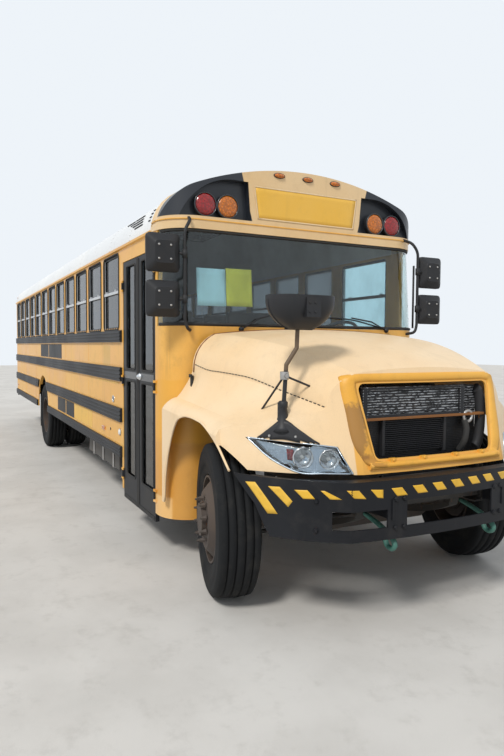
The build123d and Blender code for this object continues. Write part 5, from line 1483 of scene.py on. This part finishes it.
@dataclass
class RadiatorBay:
    """Cooler, crossbar, condenser, hose fitting and shroud behind the open grille."""

    core_x: float = 5.632

    def build(self) -> None:
        """Builds the pieces in the bay."""
        x = self.core_x
        fins = Form("cooler_core")
        fins.box((x, -0.45, 1.255), (x + 0.03, 0.30, 1.405), 0)
        for y0, y1, z0, z1, deep in (
                (-0.47, 0.33, 1.405, 1.425, 0.04), (-0.47, 0.33, 1.235, 1.255, 0.04),
                (-0.485, -0.45, 1.235, 1.425, 0.045), (0.30, 0.335, 1.235, 1.425, 0.045)):
            fins.box((x - 0.001, y0, z0), (x + deep, y1, z1), 1)
        fins.make(BODY, Paints.CORE, Paints.BLACK_TRIM, bevel=0.003)
        slats = Form("condenser")
        for k in range(16):
            z = 1.02 + k * 0.0125
            slats.box((x + 0.002, -0.30, z), (x + 0.022, 0.18, z + 0.004), 0)
        for y in (-0.32, 0.18):
            slats.box((x - 0.001, y, 1.00), (x + 0.026, y + 0.02, 1.225), 1)
        slats.make(BODY, Paints.BLACK_TRIM, Paints.PLASTIC)
        bar = Form("crossbar")
        bar.box((x + 0.03, -0.52, 1.222), (x + 0.048, 0.52, 1.238))
        for y in (-0.52, 0.49):
            bar.box((x, y, 1.195), (x + 0.03, y + 0.03, 1.238))
        bar.make(BODY, Paints.LINER, bevel=0.003)
        hose = Form("cooler_hose")
        hose.tube(flowing([(x + 0.02, 0.36, 1.20), (x + 0.055, 0.35, 1.14), (x + 0.06, 0.33, 1.06),
                           (x + 0.02, 0.32, 0.99)], 6), 0.020, 12)
        hose.tube([(x + 0.035, 0.38 + 0.036 * c, 1.215 + 0.036 * s) for c, s in circle(20)], 0.011, 8, 1,
                  closed=True)
        hose.make(BODY, Paints.RUBBER, Paints.STEEL)
        shroud = Form("fan_shroud")
        shroud.tube([(x + 0.01, 0.47 + 0.05 * s, 1.20 + 0.20 * c) for c, s in circle(20)[:11]], 0.034, 12)
        shroud.make(BODY, Paints.PLASTIC)
        paint_nodes(Paints.CORE, "radiator")
        paint_nodes(Paints.ENGINE, "engine_block")


@dataclass(frozen=True)
class HeaderFinish(Finish):
    """Cream front cap with black ends beyond a slanting edge."""

    def shade(self, graph: NodeGraph, colour: Socket) -> Socket:
        """Returns the colour with the black ends."""
        x, y, z = graph.axes()
        out = graph.math("ABSOLUTE", y)
        edge = graph.plus(graph.times(z, 0.255), -0.168)
        beyond = graph.ramp(graph.math("SUBTRACT", out, edge), -0.003, 0.003)
        pocket = graph.times(graph.ramp(out, 0.512, 0.516), graph.ramp(x, 4.243, 4.247, 1.0, 0.0))
        inside = graph.times(graph.ramp(z, 2.652, 2.658), graph.ramp(x, 4.02, 4.03))
        mask = graph.times(graph.math("MAXIMUM", beyond, pocket), inside)
        return graph.mix(mask, colour, (0.014, 0.018, 0.026))


@dataclass
class FrontHeader:
    """Blank sign panel, warning lamps, clearance lamps and trim of the front cap."""

    lamp_ys: tuple[float, ...] = (0.900, 0.712)
    lamp_z: float = 2.75
    lamp_face: float = 4.226

    def sign(self, skin: Surface) -> None:
        """Lays the blank sign panel and its pale border."""
        field_form, border = Form("sign_panel"), Form("sign_border")
        corners, inset = (
            [(AHEAD_X, -top, high), (AHEAD_X, top, high), (AHEAD_X, foot, low),
             (AHEAD_X, -foot, low)] for top, foot, high, low in ((0.497, 0.463, 2.933, 2.674),
                                                                 (0.485, 0.452, 2.921, 2.686)))
        laid(field_form, skin, across(corners, 20, 6), REARWARD, 0.002, 0.001)
        for a, b, p, q in zip(corners, corners[1:] + corners[:1], inset, inset[1:] + inset[:1]):
            laid(border, skin, across((a, b, q, p), 20, 1), REARWARD, 0.0035, 0.001)
        field_form.make(BODY, Paints.SIGN)
        border.make(BODY, Paints.HEADER_CREAM)

    def lenses(self) -> None:
        """Adds the domed lenses and bezels of the warning lamps, front and rear."""
        lens, bezel = Form("warning_lenses"), Form("warning_bezels")
        dome = [(0.0, 0.084), (0.006, 0.082), (0.013, 0.070), (0.018, 0.048), (0.020, 0.024), (0.0205, 0.0)]
        ring = [(-0.002, 0.0935), (0.010, 0.0935), (0.013, 0.089), (0.010, 0.084), (0.0, 0.084)]
        for side in SIDES:
            for slot_index, y in enumerate(self.lamp_ys):
                for spot, out in (((self.lamp_face, side * y, self.lamp_z), (1, 0, 0)),
                                  ((REAR_WALL - 0.03, side * (y - 0.04), 2.70), (-1, 0, 0))):
                    lens.lathe(dome, spot, out, 32, slot_index)
                    bezel.lathe(ring, spot, out, 32, 0)
        lens.make(BODY, Paints.RED, Paints.AMBER, slot_name="lens")
        bezel.make(BODY, Paints.BLACK_GLOSS)
        paint_nodes(Paints.BLACK_TRIM, "warning_lamps")

    def markers(self) -> None:
        """Adds the oval clearance lamps front and rear."""
        form = Form("clearance_lamps")
        places = [(4.252, y, 3.0375, 1) for y in (-0.269, 0.0, 0.269)]
        places += [(REAR_WALL, y, 2.8975, -1) for y in (-0.25, 0.0, 0.25)]
        profile = ((-0.004, 0.052, 0.022), (0.006, 0.052, 0.022), (0.008, 0.046, 0.0175),
                   (0.016, 0.040, 0.014), (0.0205, 0.026, 0.008), (0.0215, 0.001, 0.0005))
        for x, y, z, out in places:
            rows = [[(x + out * run, y + wide * c, z + tall * s) for c, s in circle(24)]
                    for run, wide, tall in profile]
            form.skin(rows[:2], 1)
            form.skin(rows[1:3], 1)
            form.skin(rows[2:], 0)
        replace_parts(form.make(BODY, Paints.AMBER, Paints.BLACK_TRIM, slot_name="amber_lens"), "marker_lamps")

    def trim(self, skin: Surface) -> None:
        """Adds the lower trim band and the rain gutter at the cap's rear edge."""
        band = Form("header_band")
        path = [(3.93, -1.2315, 2.628), (4.02, -1.2315, 2.628)]
        path += [(3.982 + 0.27 * s, -0.961 - 0.2705 * c, 2.628) for c, s in circle(32)[:9]]
        path += [(4.2525, y, 2.628) for y in (-0.6, 0.0, 0.6)]
        band.tube(path + [(x, -y, z) for x, y, z in path[::-1] if y < -0.61], 0.006, 6)
        band.make(BODY, Paints.BODY)
        joint = Form("cap_joint")
        joint.tube(girdle(skin, 3.925, 2.2, 15.0, 165.0, 48, 0.0005), 0.006, 6)
        joint.make(BODY, Paints.HEADER_CREAM)

    def build(self) -> None:
        """Builds the header's pieces."""
        skin = Surface("front_header")
        self.sign(skin)
        self.lenses()
        self.markers()
        self.trim(skin)
        finish = HeaderFinish("header_two_tone", (0.74, 0.50, 0.24), (0.80, 0.60, 0.36), fade=0.7,
                              streaks=0.12, grime=0.10, roughness=0.34, coat=0.2)
        dress("front_header", finish.material())


@dataclass
class Windshield:
    """Gasket, wipers and the two blank sheets behind the glass."""

    wiper_lines: tuple[Pairs, ...] = (
        ((-0.627, 1.800), (-0.47, 1.890), (-0.25, 1.945), (-0.50, 1.880), (-0.26, 1.935), (0.05, 1.930)),
        ((0.800, 1.815), (0.62, 1.885), (0.42, 1.915), (0.70, 1.845), (0.42, 1.900), (0.10, 1.915)))

    def gasket(self, skin: Surface) -> None:
        """Lays the gasket along the upper and the lower edge of the glass."""
        form = Form("windshield_gasket")
        for z in (1.834, 2.546):
            row = []
            for k in range(61):
                angle = math.radians(-86 + 172 * k / 60)
                out = Vector((math.cos(angle), math.sin(angle), 0.0))
                found = skin.cast(Vector((3.6, 0.0, z)) + out * 3, -out)
                if found and found[0].x > 4.035:
                    row.append(found[0] + found[1] * 0.002)
            form.tube(row, 0.013, 8)
        form.make(BODY, Paints.RUBBER)

    def wipers(self, skin: Surface) -> None:
        """Sets each wiper's pivot, arm and blade on the glass."""
        form = Form("wipers")
        for line in self.wiper_lines:
            found = [skin.ahead(y, max(z, 1.84)) for y, z in line]
            if all(spot is not None for spot in found):
                spots = [spot + Vector((0.0, 0.0, min(0.0, z - 1.84))) for spot, (_, z) in zip(found, line)]
                arm = [spot + Vector((out, 0.0, 0.0)) for spot, out in zip(spots, (0.010, 0.036, 0.022))]
                form.tube(arm, 0.0065, 8)
                form.lathe(
                    [(0.0, 0.022), (0.02, 0.020), (0.03, 0.012), (0.032, 0.0)], spots[0], (1, 0, 0), 16)
                form.tube([spot + Vector((0.012, 0.0, 0.0)) for spot in flowing(spots[3:], 4)], 0.0065, 6)
        form.make(BODY, Paints.BLACK_TRIM)

    def build(self) -> None:
        """Builds the windshield's pieces."""
        skin = Surface("windshield")
        self.gasket(skin)
        self.wipers(skin)
        sheets = Form("window_sheets")
        for slot_index, (y0, y1, z0, z1) in enumerate(
                ((-0.984, -0.744, 1.975, 2.262), (-0.740, -0.516, 1.978, 2.272))):
            laid(sheets, skin, across(((3.0, y0, z1), (3.0, y1, z1), (3.0, y1, z0), (3.0, y0, z0)), 8, 6),
                 (1.0, 0.0, 0.0), 0.0012, -0.0004, slot_index)
        sheets.make(BODY, Paints.PAPER_BLUE, Paints.PAPER_GREEN)
        paint_nodes(Paints.WINDSHIELD, "windshield")


@dataclass
class EntranceDoor:
    """Seals, rails, handle and grab rail of the two door leaves."""

    leaves: tuple[tuple[str, str, float, float, float, float], ...] = (
        ("entrance_door_front", "front", 3.5024, 3.972, 3.606, 3.928),
        ("entrance_door_rear", "rear", 3.036, 3.4924, 3.147, 3.416))
    face: float = -1.216

    def build(self) -> None:
        """Builds the door's pieces."""
        for body, name, x0, x1, p0, p1 in self.leaves:
            form = Form(f"door_{name}_trim")
            for z0, z1 in ((0.498, 1.352), (1.458, 2.375)):
                form.tube(pane(((p0 + p1) / 2, self.face, (z0 + z1) / 2), ((p1 - p0) / 2, 0.0, 0.0),
                               (0.0, 0.0, (z1 - z0) / 2), 0.03), 0.009, 6, 0, closed=True)
            edge, toward = (x0, -1) if name == "front" else (x1, 1)
            form.box((edge, self.face - 0.006, 0.27), (edge - toward * 0.028, self.face + 0.002, 2.41), 0)
            form.box((x0 + 0.02, self.face - 0.004, 0.275), (x1 - 0.02, self.face + 0.002, 0.30), 0)
            form.box((x0 + 0.035, self.face - 0.003, 1.372), (x1 - 0.035, self.face + 0.002, 1.438), 1)
            form.make(body, Paints.RUBBER, Paints.BLACK_GLOSS, bevel=0.002)
        knob = Form("door_handle")
        knob.lathe([(0.0, 0.030), (0.010, 0.030), (0.016, 0.022), (0.030, 0.014), (0.034, 0.0)],
                   (3.56, self.face, 1.405), (0, -1, 0), 20)
        knob.make("entrance_door_front", Paints.CHROME)
        rail = Form("door_grab_rail")
        rail.tube(flowing([(3.63, -1.182, 1.30), (3.63, -1.150, 1.26), (3.70, -1.145, 1.05),
                           (3.86, -1.145, 0.72), (3.90, -1.150, 0.66), (3.90, -1.182, 0.62)], 5), 0.013, 10)
        rail.make("entrance_door_front", Paints.STEEL)
        paint_nodes(Paints.BLACK_TRIM, "door_front_leaf", "door_rear_leaf")
        paint_nodes(Paints.WINDOW, "door_front_glass", "door_rear_glass")
        paint_nodes(Paints.FLOOR, "step_well", "body_floor")


@dataclass
class Mirrors:
    """Side mirrors on their loops and the oval cross-view mirror on the hood."""

    mirror_x: float = 4.345
    tube_y: float = 1.111
    heads: Pairs = ((2.205, 2.485), (1.880, 2.145))
    bowl: Point = (5.48, -0.808, 1.88)
    clamp: Point = (5.466, -0.905, 1.495)
    brace_ends: tuple[Point, ...] = ((5.48, -0.606, 1.380), (5.23, -0.955, 1.240))
    cone_top: Point = (5.4635, -0.911, 1.345)
    flare_low: tuple[Point, ...] = (
        (5.345, -1.090, 1.105), (5.401, -1.045, 1.104), (5.456, -0.994, 1.102), (5.519, -0.928, 1.096),
        (5.578, -0.860, 1.089), (5.648, -0.767, 1.076), (5.709, -0.669, 1.066))
    flare_high: tuple[Point, ...] = (
        (5.345, -1.090, 1.112), (5.395, -1.045, 1.128), (5.440, -0.990, 1.182), (5.490, -0.920, 1.235),
        (5.562, -0.852, 1.179), (5.640, -0.765, 1.106), (5.709, -0.665, 1.073))

    def head(self, form: Form, side: int, low: float, high: float) -> None:
        """Adds one square head: pyramid back, rim, bolts and glass."""
        x0, x1 = self.mirror_x - 0.045, self.mirror_x + 0.030
        mid_y, half_y = side * 1.2725, side * 0.1275
        mid_z, half_z = (low + high) / 2, (high - low) / 2
        rows = [pane((x, mid_y, mid_z), (0.0, half_y * share, 0.0), (0.0, 0.0, half_z * share), 0.035)
                for x, share in ((x0, 0.96), (x0 + 0.006, 1.0), (x0 + 0.028, 1.0), (x0 + 0.036, 0.95),
                                 (x1 - 0.006, 0.62), (x1, 0.58))]
        form.skin(rows, 0, smooth=False)
        form.faces(rows[-1], [list(range(len(rows[-1])))], 0)
        form.faces(rows[0], [list(range(len(rows[0])))[::-1]], 1)
        for sy in (1, -1):
            for sz in (1, -1):
                form.lathe([(-0.002, 0.008), (0.004, 0.008), (0.006, 0.005), (0.006, 0.0)],
                           (x1, mid_y + side * sy * 0.045, mid_z + sz * 0.05), (1, 0, 0), 12, 2)

    def side_pair(self, side: int) -> Form:
        """Returns the form of one side's loop and heads."""
        form = Form("side_mirror_" + HAND[side])
        x, y = self.mirror_x, side * self.tube_y
        form.tube(
            rounded([(4.165, side * 1.02, 2.66), (x - 0.02, side * 1.06, 2.60), (x, y, 2.52), (x, y, 1.86),
                     (x, side * 1.09, 1.80), (4.215, side * 1.0, 1.775)], 0.06, 5), 0.0125, 10, 0)
        form.tube([(x - 0.03, y - side * 0.02, 2.40), (x - 0.03, y - side * 0.02, 1.84)], 0.009, 8, 0)
        for low, high in self.heads:
            self.head(form, side, low, high)
            mid = (low + high) / 2
            form.tube([(x, y, mid), (x, side * 1.155, mid)], 0.011, 8, 0)
            form.lathe(
                [(-0.03, 0.0), (-0.03, 0.020), (0.03, 0.020), (0.03, 0.0)], (x, y, mid), (0, 0, 1), 16, 0)
        form.lathe([(-0.006, 0.0), (-0.006, 0.035), (0.02, 0.032), (0.03, 0.016), (0.03, 0.0)],
                   (4.205, side * 1.0, 1.775), (0.5, side * 0.3, 0.0), 16, 0)
        return form

    def foot(self) -> None:
        """Adds the collar, cone and flared foot that carry the mirror's arm over the headlight."""
        form = Form("mirror_foot")
        form.lathe(
            [(0.0, 0.0), (0.0, 0.021), (-0.008, 0.029), (-0.040, 0.029), (-0.044, 0.025), (-0.090, 0.031),
             (-0.125, 0.040), (-0.155, 0.053), (-0.180, 0.068), (-0.190, 0.0)], self.cone_top, (0, 0, 1), 24)
        out = Vector((0.52, -0.45, 0.72)).normalized()
        low, high = flowing(self.flare_low, 4), flowing(self.flare_high, 4)
        grid = [[a.lerp(b, k / 6) + out * 0.25 for a, b in zip(low, high)] for k in range(7)]
        skin = Surface("hood")
        laid(form, skin, grid, -out, 0.007, 0.003)
        form.make("hood_assembly", Paints.MIRROR_ARM, slot_name="mirror_black")
        spots = []
        for share in (0.36, 0.64):
            index = int(share * (len(low) - 1))
            found = skin.cast(low[index].lerp(high[index], 0.45) + out * 0.25, -out)
            if found:
                spots.append((found[0] + found[1] * 0.009, found[1]))
        REPEAT.heads("mirror_screws", "hood_assembly", spots, 0.009, 0.006, Paints.STEEL, 10)

    def cross_view(self) -> None:
        """Adds the rim, bolted block, clamp and brace ends of the mirror on the hood."""
        x, y, z = self.bowl
        skin = Surface("hood_mirror")
        form = Form("cross_view_fittings")
        rim = []
        for c, s in circle(48):
            out = Vector((0.0, c, s))
            place = skin.spot(Vector(self.bowl) + out * 0.6, -out, 0.001)
            if place is not None:
                place.z = max(place.z, 1.771)
                rim.append(place)
        form.tube(rim, 0.0045, 6, 1, closed=True)
        form.box((x + 0.055, y - 0.036, 1.838), (x + 0.133, y + 0.062, 1.952), 0)
        for dy in (-0.016, 0.022):
            for level in (1.868, 1.922):
                form.lathe([(-0.002, 0.007), (0.004, 0.007), (0.006, 0.004), (0.006, 0.0)],
                           (x + 0.133, y + dy, level), (1, 0, 0), 12, 1)
        form.lathe(
            [(-0.024, 0.0), (-0.024, 0.0265), (0.024, 0.0265), (0.024, 0.0)], self.clamp, (0, 0, 1), 20, 2)
        form.lathe([(-0.010, 0.0), (-0.010, 0.016), (0.010, 0.016), (0.010, 0.0)],
                   (self.clamp[0] + 0.022, self.clamp[1], self.clamp[2]), (1, 0, 0), 14, 2)
        for end in self.brace_ends:
            near = Vector(end).lerp(Vector(self.clamp), 0.12)
            form.tube([Vector(end).lerp(near, 0.5), near], 0.0115, 10, 2)
        form.make("hood_assembly", Paints.MIRROR_ARM, Paints.PLASTIC, Paints.STEEL, bevel=0.002)
        paint_nodes(Paints.MIRROR_ARM, "hood_mirror")

    def build(self) -> None:
        """Builds all mirrors."""
        for form in [self.side_pair(side) for side in SIDES]:
            piece = form.make(BODY, Paints.PLASTIC, Paints.MIRROR, Paints.STEEL, slot_name="mirror_black")
            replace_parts(piece, "side_mirrors")
        self.cross_view()
        self.foot()


@dataclass
class Cabin:
    """Bench seats, driver's seat, steering wheel and dashboard."""

    rows: int = 12
    pitch: float = 0.69
    first: float = 2.65
    floor: float = 1.04

    def benches(self) -> None:
        """Builds the padded benches as crowned, subdivided forms."""
        form = Form("bench_cushions")
        for side in SIDES:
            for k in range(self.rows):
                x = self.first - k * self.pitch
                y0, y1 = sorted((side * 0.205, side * 1.16))
                pad(form, (x - 0.40, y0, self.floor + 0.31), (x, y1, self.floor + 0.45), 0.045, 0.012)
                pad(form, (x - 0.50, y0, self.floor + 0.31), (x - 0.40, y1, self.floor + 1.02), 0.035, 0.010)
        piece = form.make(BODY, Paints.SEAT, subdivide=2, weld=1e-6, slot_name="seat_cover")
        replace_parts(piece, "bench_seats")

    def driver(self) -> None:
        """Builds the driver's seat."""
        form = Form("driver_cushions")
        z = self.floor
        pad(form, (3.15, 0.35, z + 0.30), (3.60, 0.85, z + 0.42), 0.05, 0.014)
        pad(form, (3.08, 0.35, z + 0.42), (3.18, 0.85, z + 1.05), 0.035, 0.012)
        piece = form.make(BODY, Paints.SEAT, subdivide=2, weld=1e-6, slot_name="seat_cover")
        base = Form("driver_seat_base")
        base.box((3.28, 0.50, z), (3.48, 0.70, z + 0.30))
        base.box((3.20, 0.42, z + 0.27), (3.56, 0.78, z + 0.305))
        stand = base.make(BODY, Paints.PLASTIC, bevel=0.01)
        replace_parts(stand, "driver_seat")
        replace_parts(piece, "driver_seat")

    def build(self) -> None:
        """Builds the cabin's pieces."""
        self.benches()
        self.driver()
        gauges = Form("dash_panel")
        gauges.box((3.972, 0.30, 1.62), (3.982, 0.90, 1.695), 0)
        for y in (0.40, 0.50, 0.60, 0.70, 0.80):
            gauges.lathe([(-0.002, 0.034), (0.006, 0.034), (0.007, 0.028), (0.004, 0.0)], (3.972, y, 1.657),
                         (-1, 0, 0), 20, 1)
        gauges.make(BODY, Paints.PLASTIC, Paints.STEEL, bevel=0.002)
        paint_nodes(Paints.PLASTIC, "dashboard", "steering_wheel")
        paint_nodes(Paints.FRAME, "seat_frames")


@dataclass
class RearEnd:
    """Emergency door trim, blank sign, tail lamp lenses and fittings of the rear."""

    wall: float = REAR_WALL

    def build(self) -> None:
        """Builds the rear's pieces."""
        form = Form("rear_sign")
        form.box((self.wall - 0.004, -0.50, 2.60), (self.wall + 0.002, 0.50, 2.83), 0)
        for z in (2.60, 2.83):
            form.box((self.wall - 0.006, -0.50, z - 0.006), (self.wall, 0.50, z + 0.006), 1)
        for y in (-0.50, 0.50):
            form.box((self.wall - 0.006, y - 0.006, 2.594), (self.wall, y + 0.006, 2.836), 1)
        form.make(BODY, Paints.SIGN, Paints.BLACK_TRIM, bevel=0.001)
        lens = Form("tail_lenses")
        dome = ((0.0, 1.0), (0.005, 0.97), (0.010, 0.8), (0.014, 0.45), (0.0145, 0.0))
        for side in SIDES:
            for slot_index, y, z, radius in (
                    (0, 0.94, 1.33, 0.084), (1, 0.74, 1.33, 0.084), (2, 0.94, 1.13, 0.046)):
                lens.lathe([(run, r * radius) for run, r in dome], (self.wall - 0.028, side * y, z),
                           (-1, 0, 0), 28, slot_index)
        lens.make(BODY, Paints.RED, Paints.AMBER, Paints.WHITE, slot_name="lens")
        trim = Form("rear_window_rubber")
        for side in SIDES:
            trim.tube(pane((self.wall - 0.001, side * 0.815, WINDOW_Z), (0.0, side * 0.24, 0.0),
                           (0.0, 0.0, WINDOW_HALF), 0.06), 0.009, 6, closed=True)
        trim.make(BODY, Paints.RUBBER)
        door = Form("emergency_door_trim")
        for z0, z1 in ((1.12, 1.60), (1.83, 2.38)):
            door.tube(pane((self.wall - 0.007, 0.0, (z0 + z1) / 2), (0.0, 0.35, 0.0),
                           (0.0, 0.0, (z1 - z0) / 2), 0.04), 0.010, 6, closed=True)
        door.make("emergency_door", Paints.RUBBER)
        spots = []
        for z in (0.70, 1.00, 1.66, 2.52):
            for k in range(27):
                y = -1.07 + k * 0.0823
                if abs(y) > 0.50 or z > 2.5 or z < 0.9:
                    spots.append(((self.wall, y, z), (-1.0, 0.0, 0.0)))
        REPEAT.heads("rear_rivets", BODY, spots, 0.0065, 0.005, Paints.BODY, 6)
        paint_nodes(Paints.BODY, "rear_wall", "rear_door")
        paint_nodes(Paints.WINDOW, "rear_door_glass")
        paint_nodes(Paints.BLACK_TRIM, "tail_lamps")


@dataclass
class Chassis:
    """Fuel tank straps, mud flaps and finishes under the floor."""

    def build(self) -> None:
        """Builds the chassis pieces."""
        straps = Form("tank_straps")
        for x in (1.35, 1.80, 2.25):
            straps.prism([(x, -1.124, 0.396), (x, -1.124, 0.842), (x, -0.44, 0.842), (x, -0.44, 0.846),
                          (x, -1.128, 0.846), (x, -1.128, 0.392), (x, -0.44, 0.392), (x, -0.44, 0.396)],
                         (0.05, 0.0, 0.0))
        straps.make(BODY, Paints.STEEL)
        flaps = Form("mud_flaps")
        x, top, low = REAR_AXLE - 0.66, 0.99, 0.25
        for side in SIDES:
            rows = []
            for k in range(7):
                z = top + (low - top) * k / 6
                bend = x + 0.012 * math.sin(k * 0.9)
                rows.append([(bend, side * 0.60, z), (bend, side * 1.17, z), (bend - 0.008, side * 1.17, z),
                             (bend - 0.008, side * 0.60, z)])
            flaps.skin(rows, 0, smooth=False)
            flaps.faces(rows[0], [(0, 1, 2, 3)])
            flaps.faces(rows[-1], [(0, 1, 2, 3)])
        flaps.make(BODY, Paints.RUBBER)
        paint_nodes(Paints.FRAME, "chassis_frame", "leaf_springs", "tie_rod")
        paint_nodes(Paints.AXLE, "front_axle", "rear_axle", "exhaust")
        paint_nodes(Paints.TANK, "fuel_tank")
        paint_nodes(Paints.COWL, "front_cowl")


@dataclass
class StopArm:
    """Octagon face with its pale border and two lamps; no lettering."""

    x: float = 2.56
    z: float = 1.58
    flat: float = 0.228
    plate: float = 1.269

    def build(self) -> None:
        """Builds the stop arm's pieces."""
        form = Form("stop_face")
        reach = self.flat / math.cos(math.radians(22.5))
        for face, out in ((self.plate + 0.008, 1), (self.plate, -1)):
            for share, lift, slot_index in ((0.985, 0.0008, 1), (0.90, 0.0016, 0)):
                ring = [(self.x + reach * share * math.cos(math.radians(22.5 + 45 * k)), face - out * 0.001,
                         self.z + reach * share * math.sin(math.radians(22.5 + 45 * k))) for k in range(8)]
                form.prism(ring, (0.0, out * (0.001 + lift), 0.0), slot_index)
            for z in (self.z + 0.14, self.z - 0.14):
                form.lathe([(-0.002, 0.045), (0.006, 0.045), (0.012, 0.034), (0.014, 0.0)],
                           (self.x, face, z), (0, out, 0), 20, 2)
        form.make("stop_sign", Paints.STOP_RED, Paints.WHITE, Paints.RED, slot_name="stop_red")
        paint_nodes(Paints.STOP_RED, "stop_arm")
        paint_nodes(Paints.BLACK_TRIM, "stop_arm_bracket")


def main() -> None:
    """Builds the bus piece by piece."""
    logging.basicConfig(level=logging.INFO, format="%(name)s %(message)s")
    for part in (
            Studio(), Wheels(), Sides(), Roof(), Hood(), Headlights(), Bumper(), RadiatorBay(), FrontHeader(),
            Windshield(), EntranceDoor(), Mirrors(), Cabin(), RearEnd(), Chassis(), StopArm()):
        LOG.info("building %s", type(part).__name__)
        part.build()


if __name__ == "__main__":
    main()
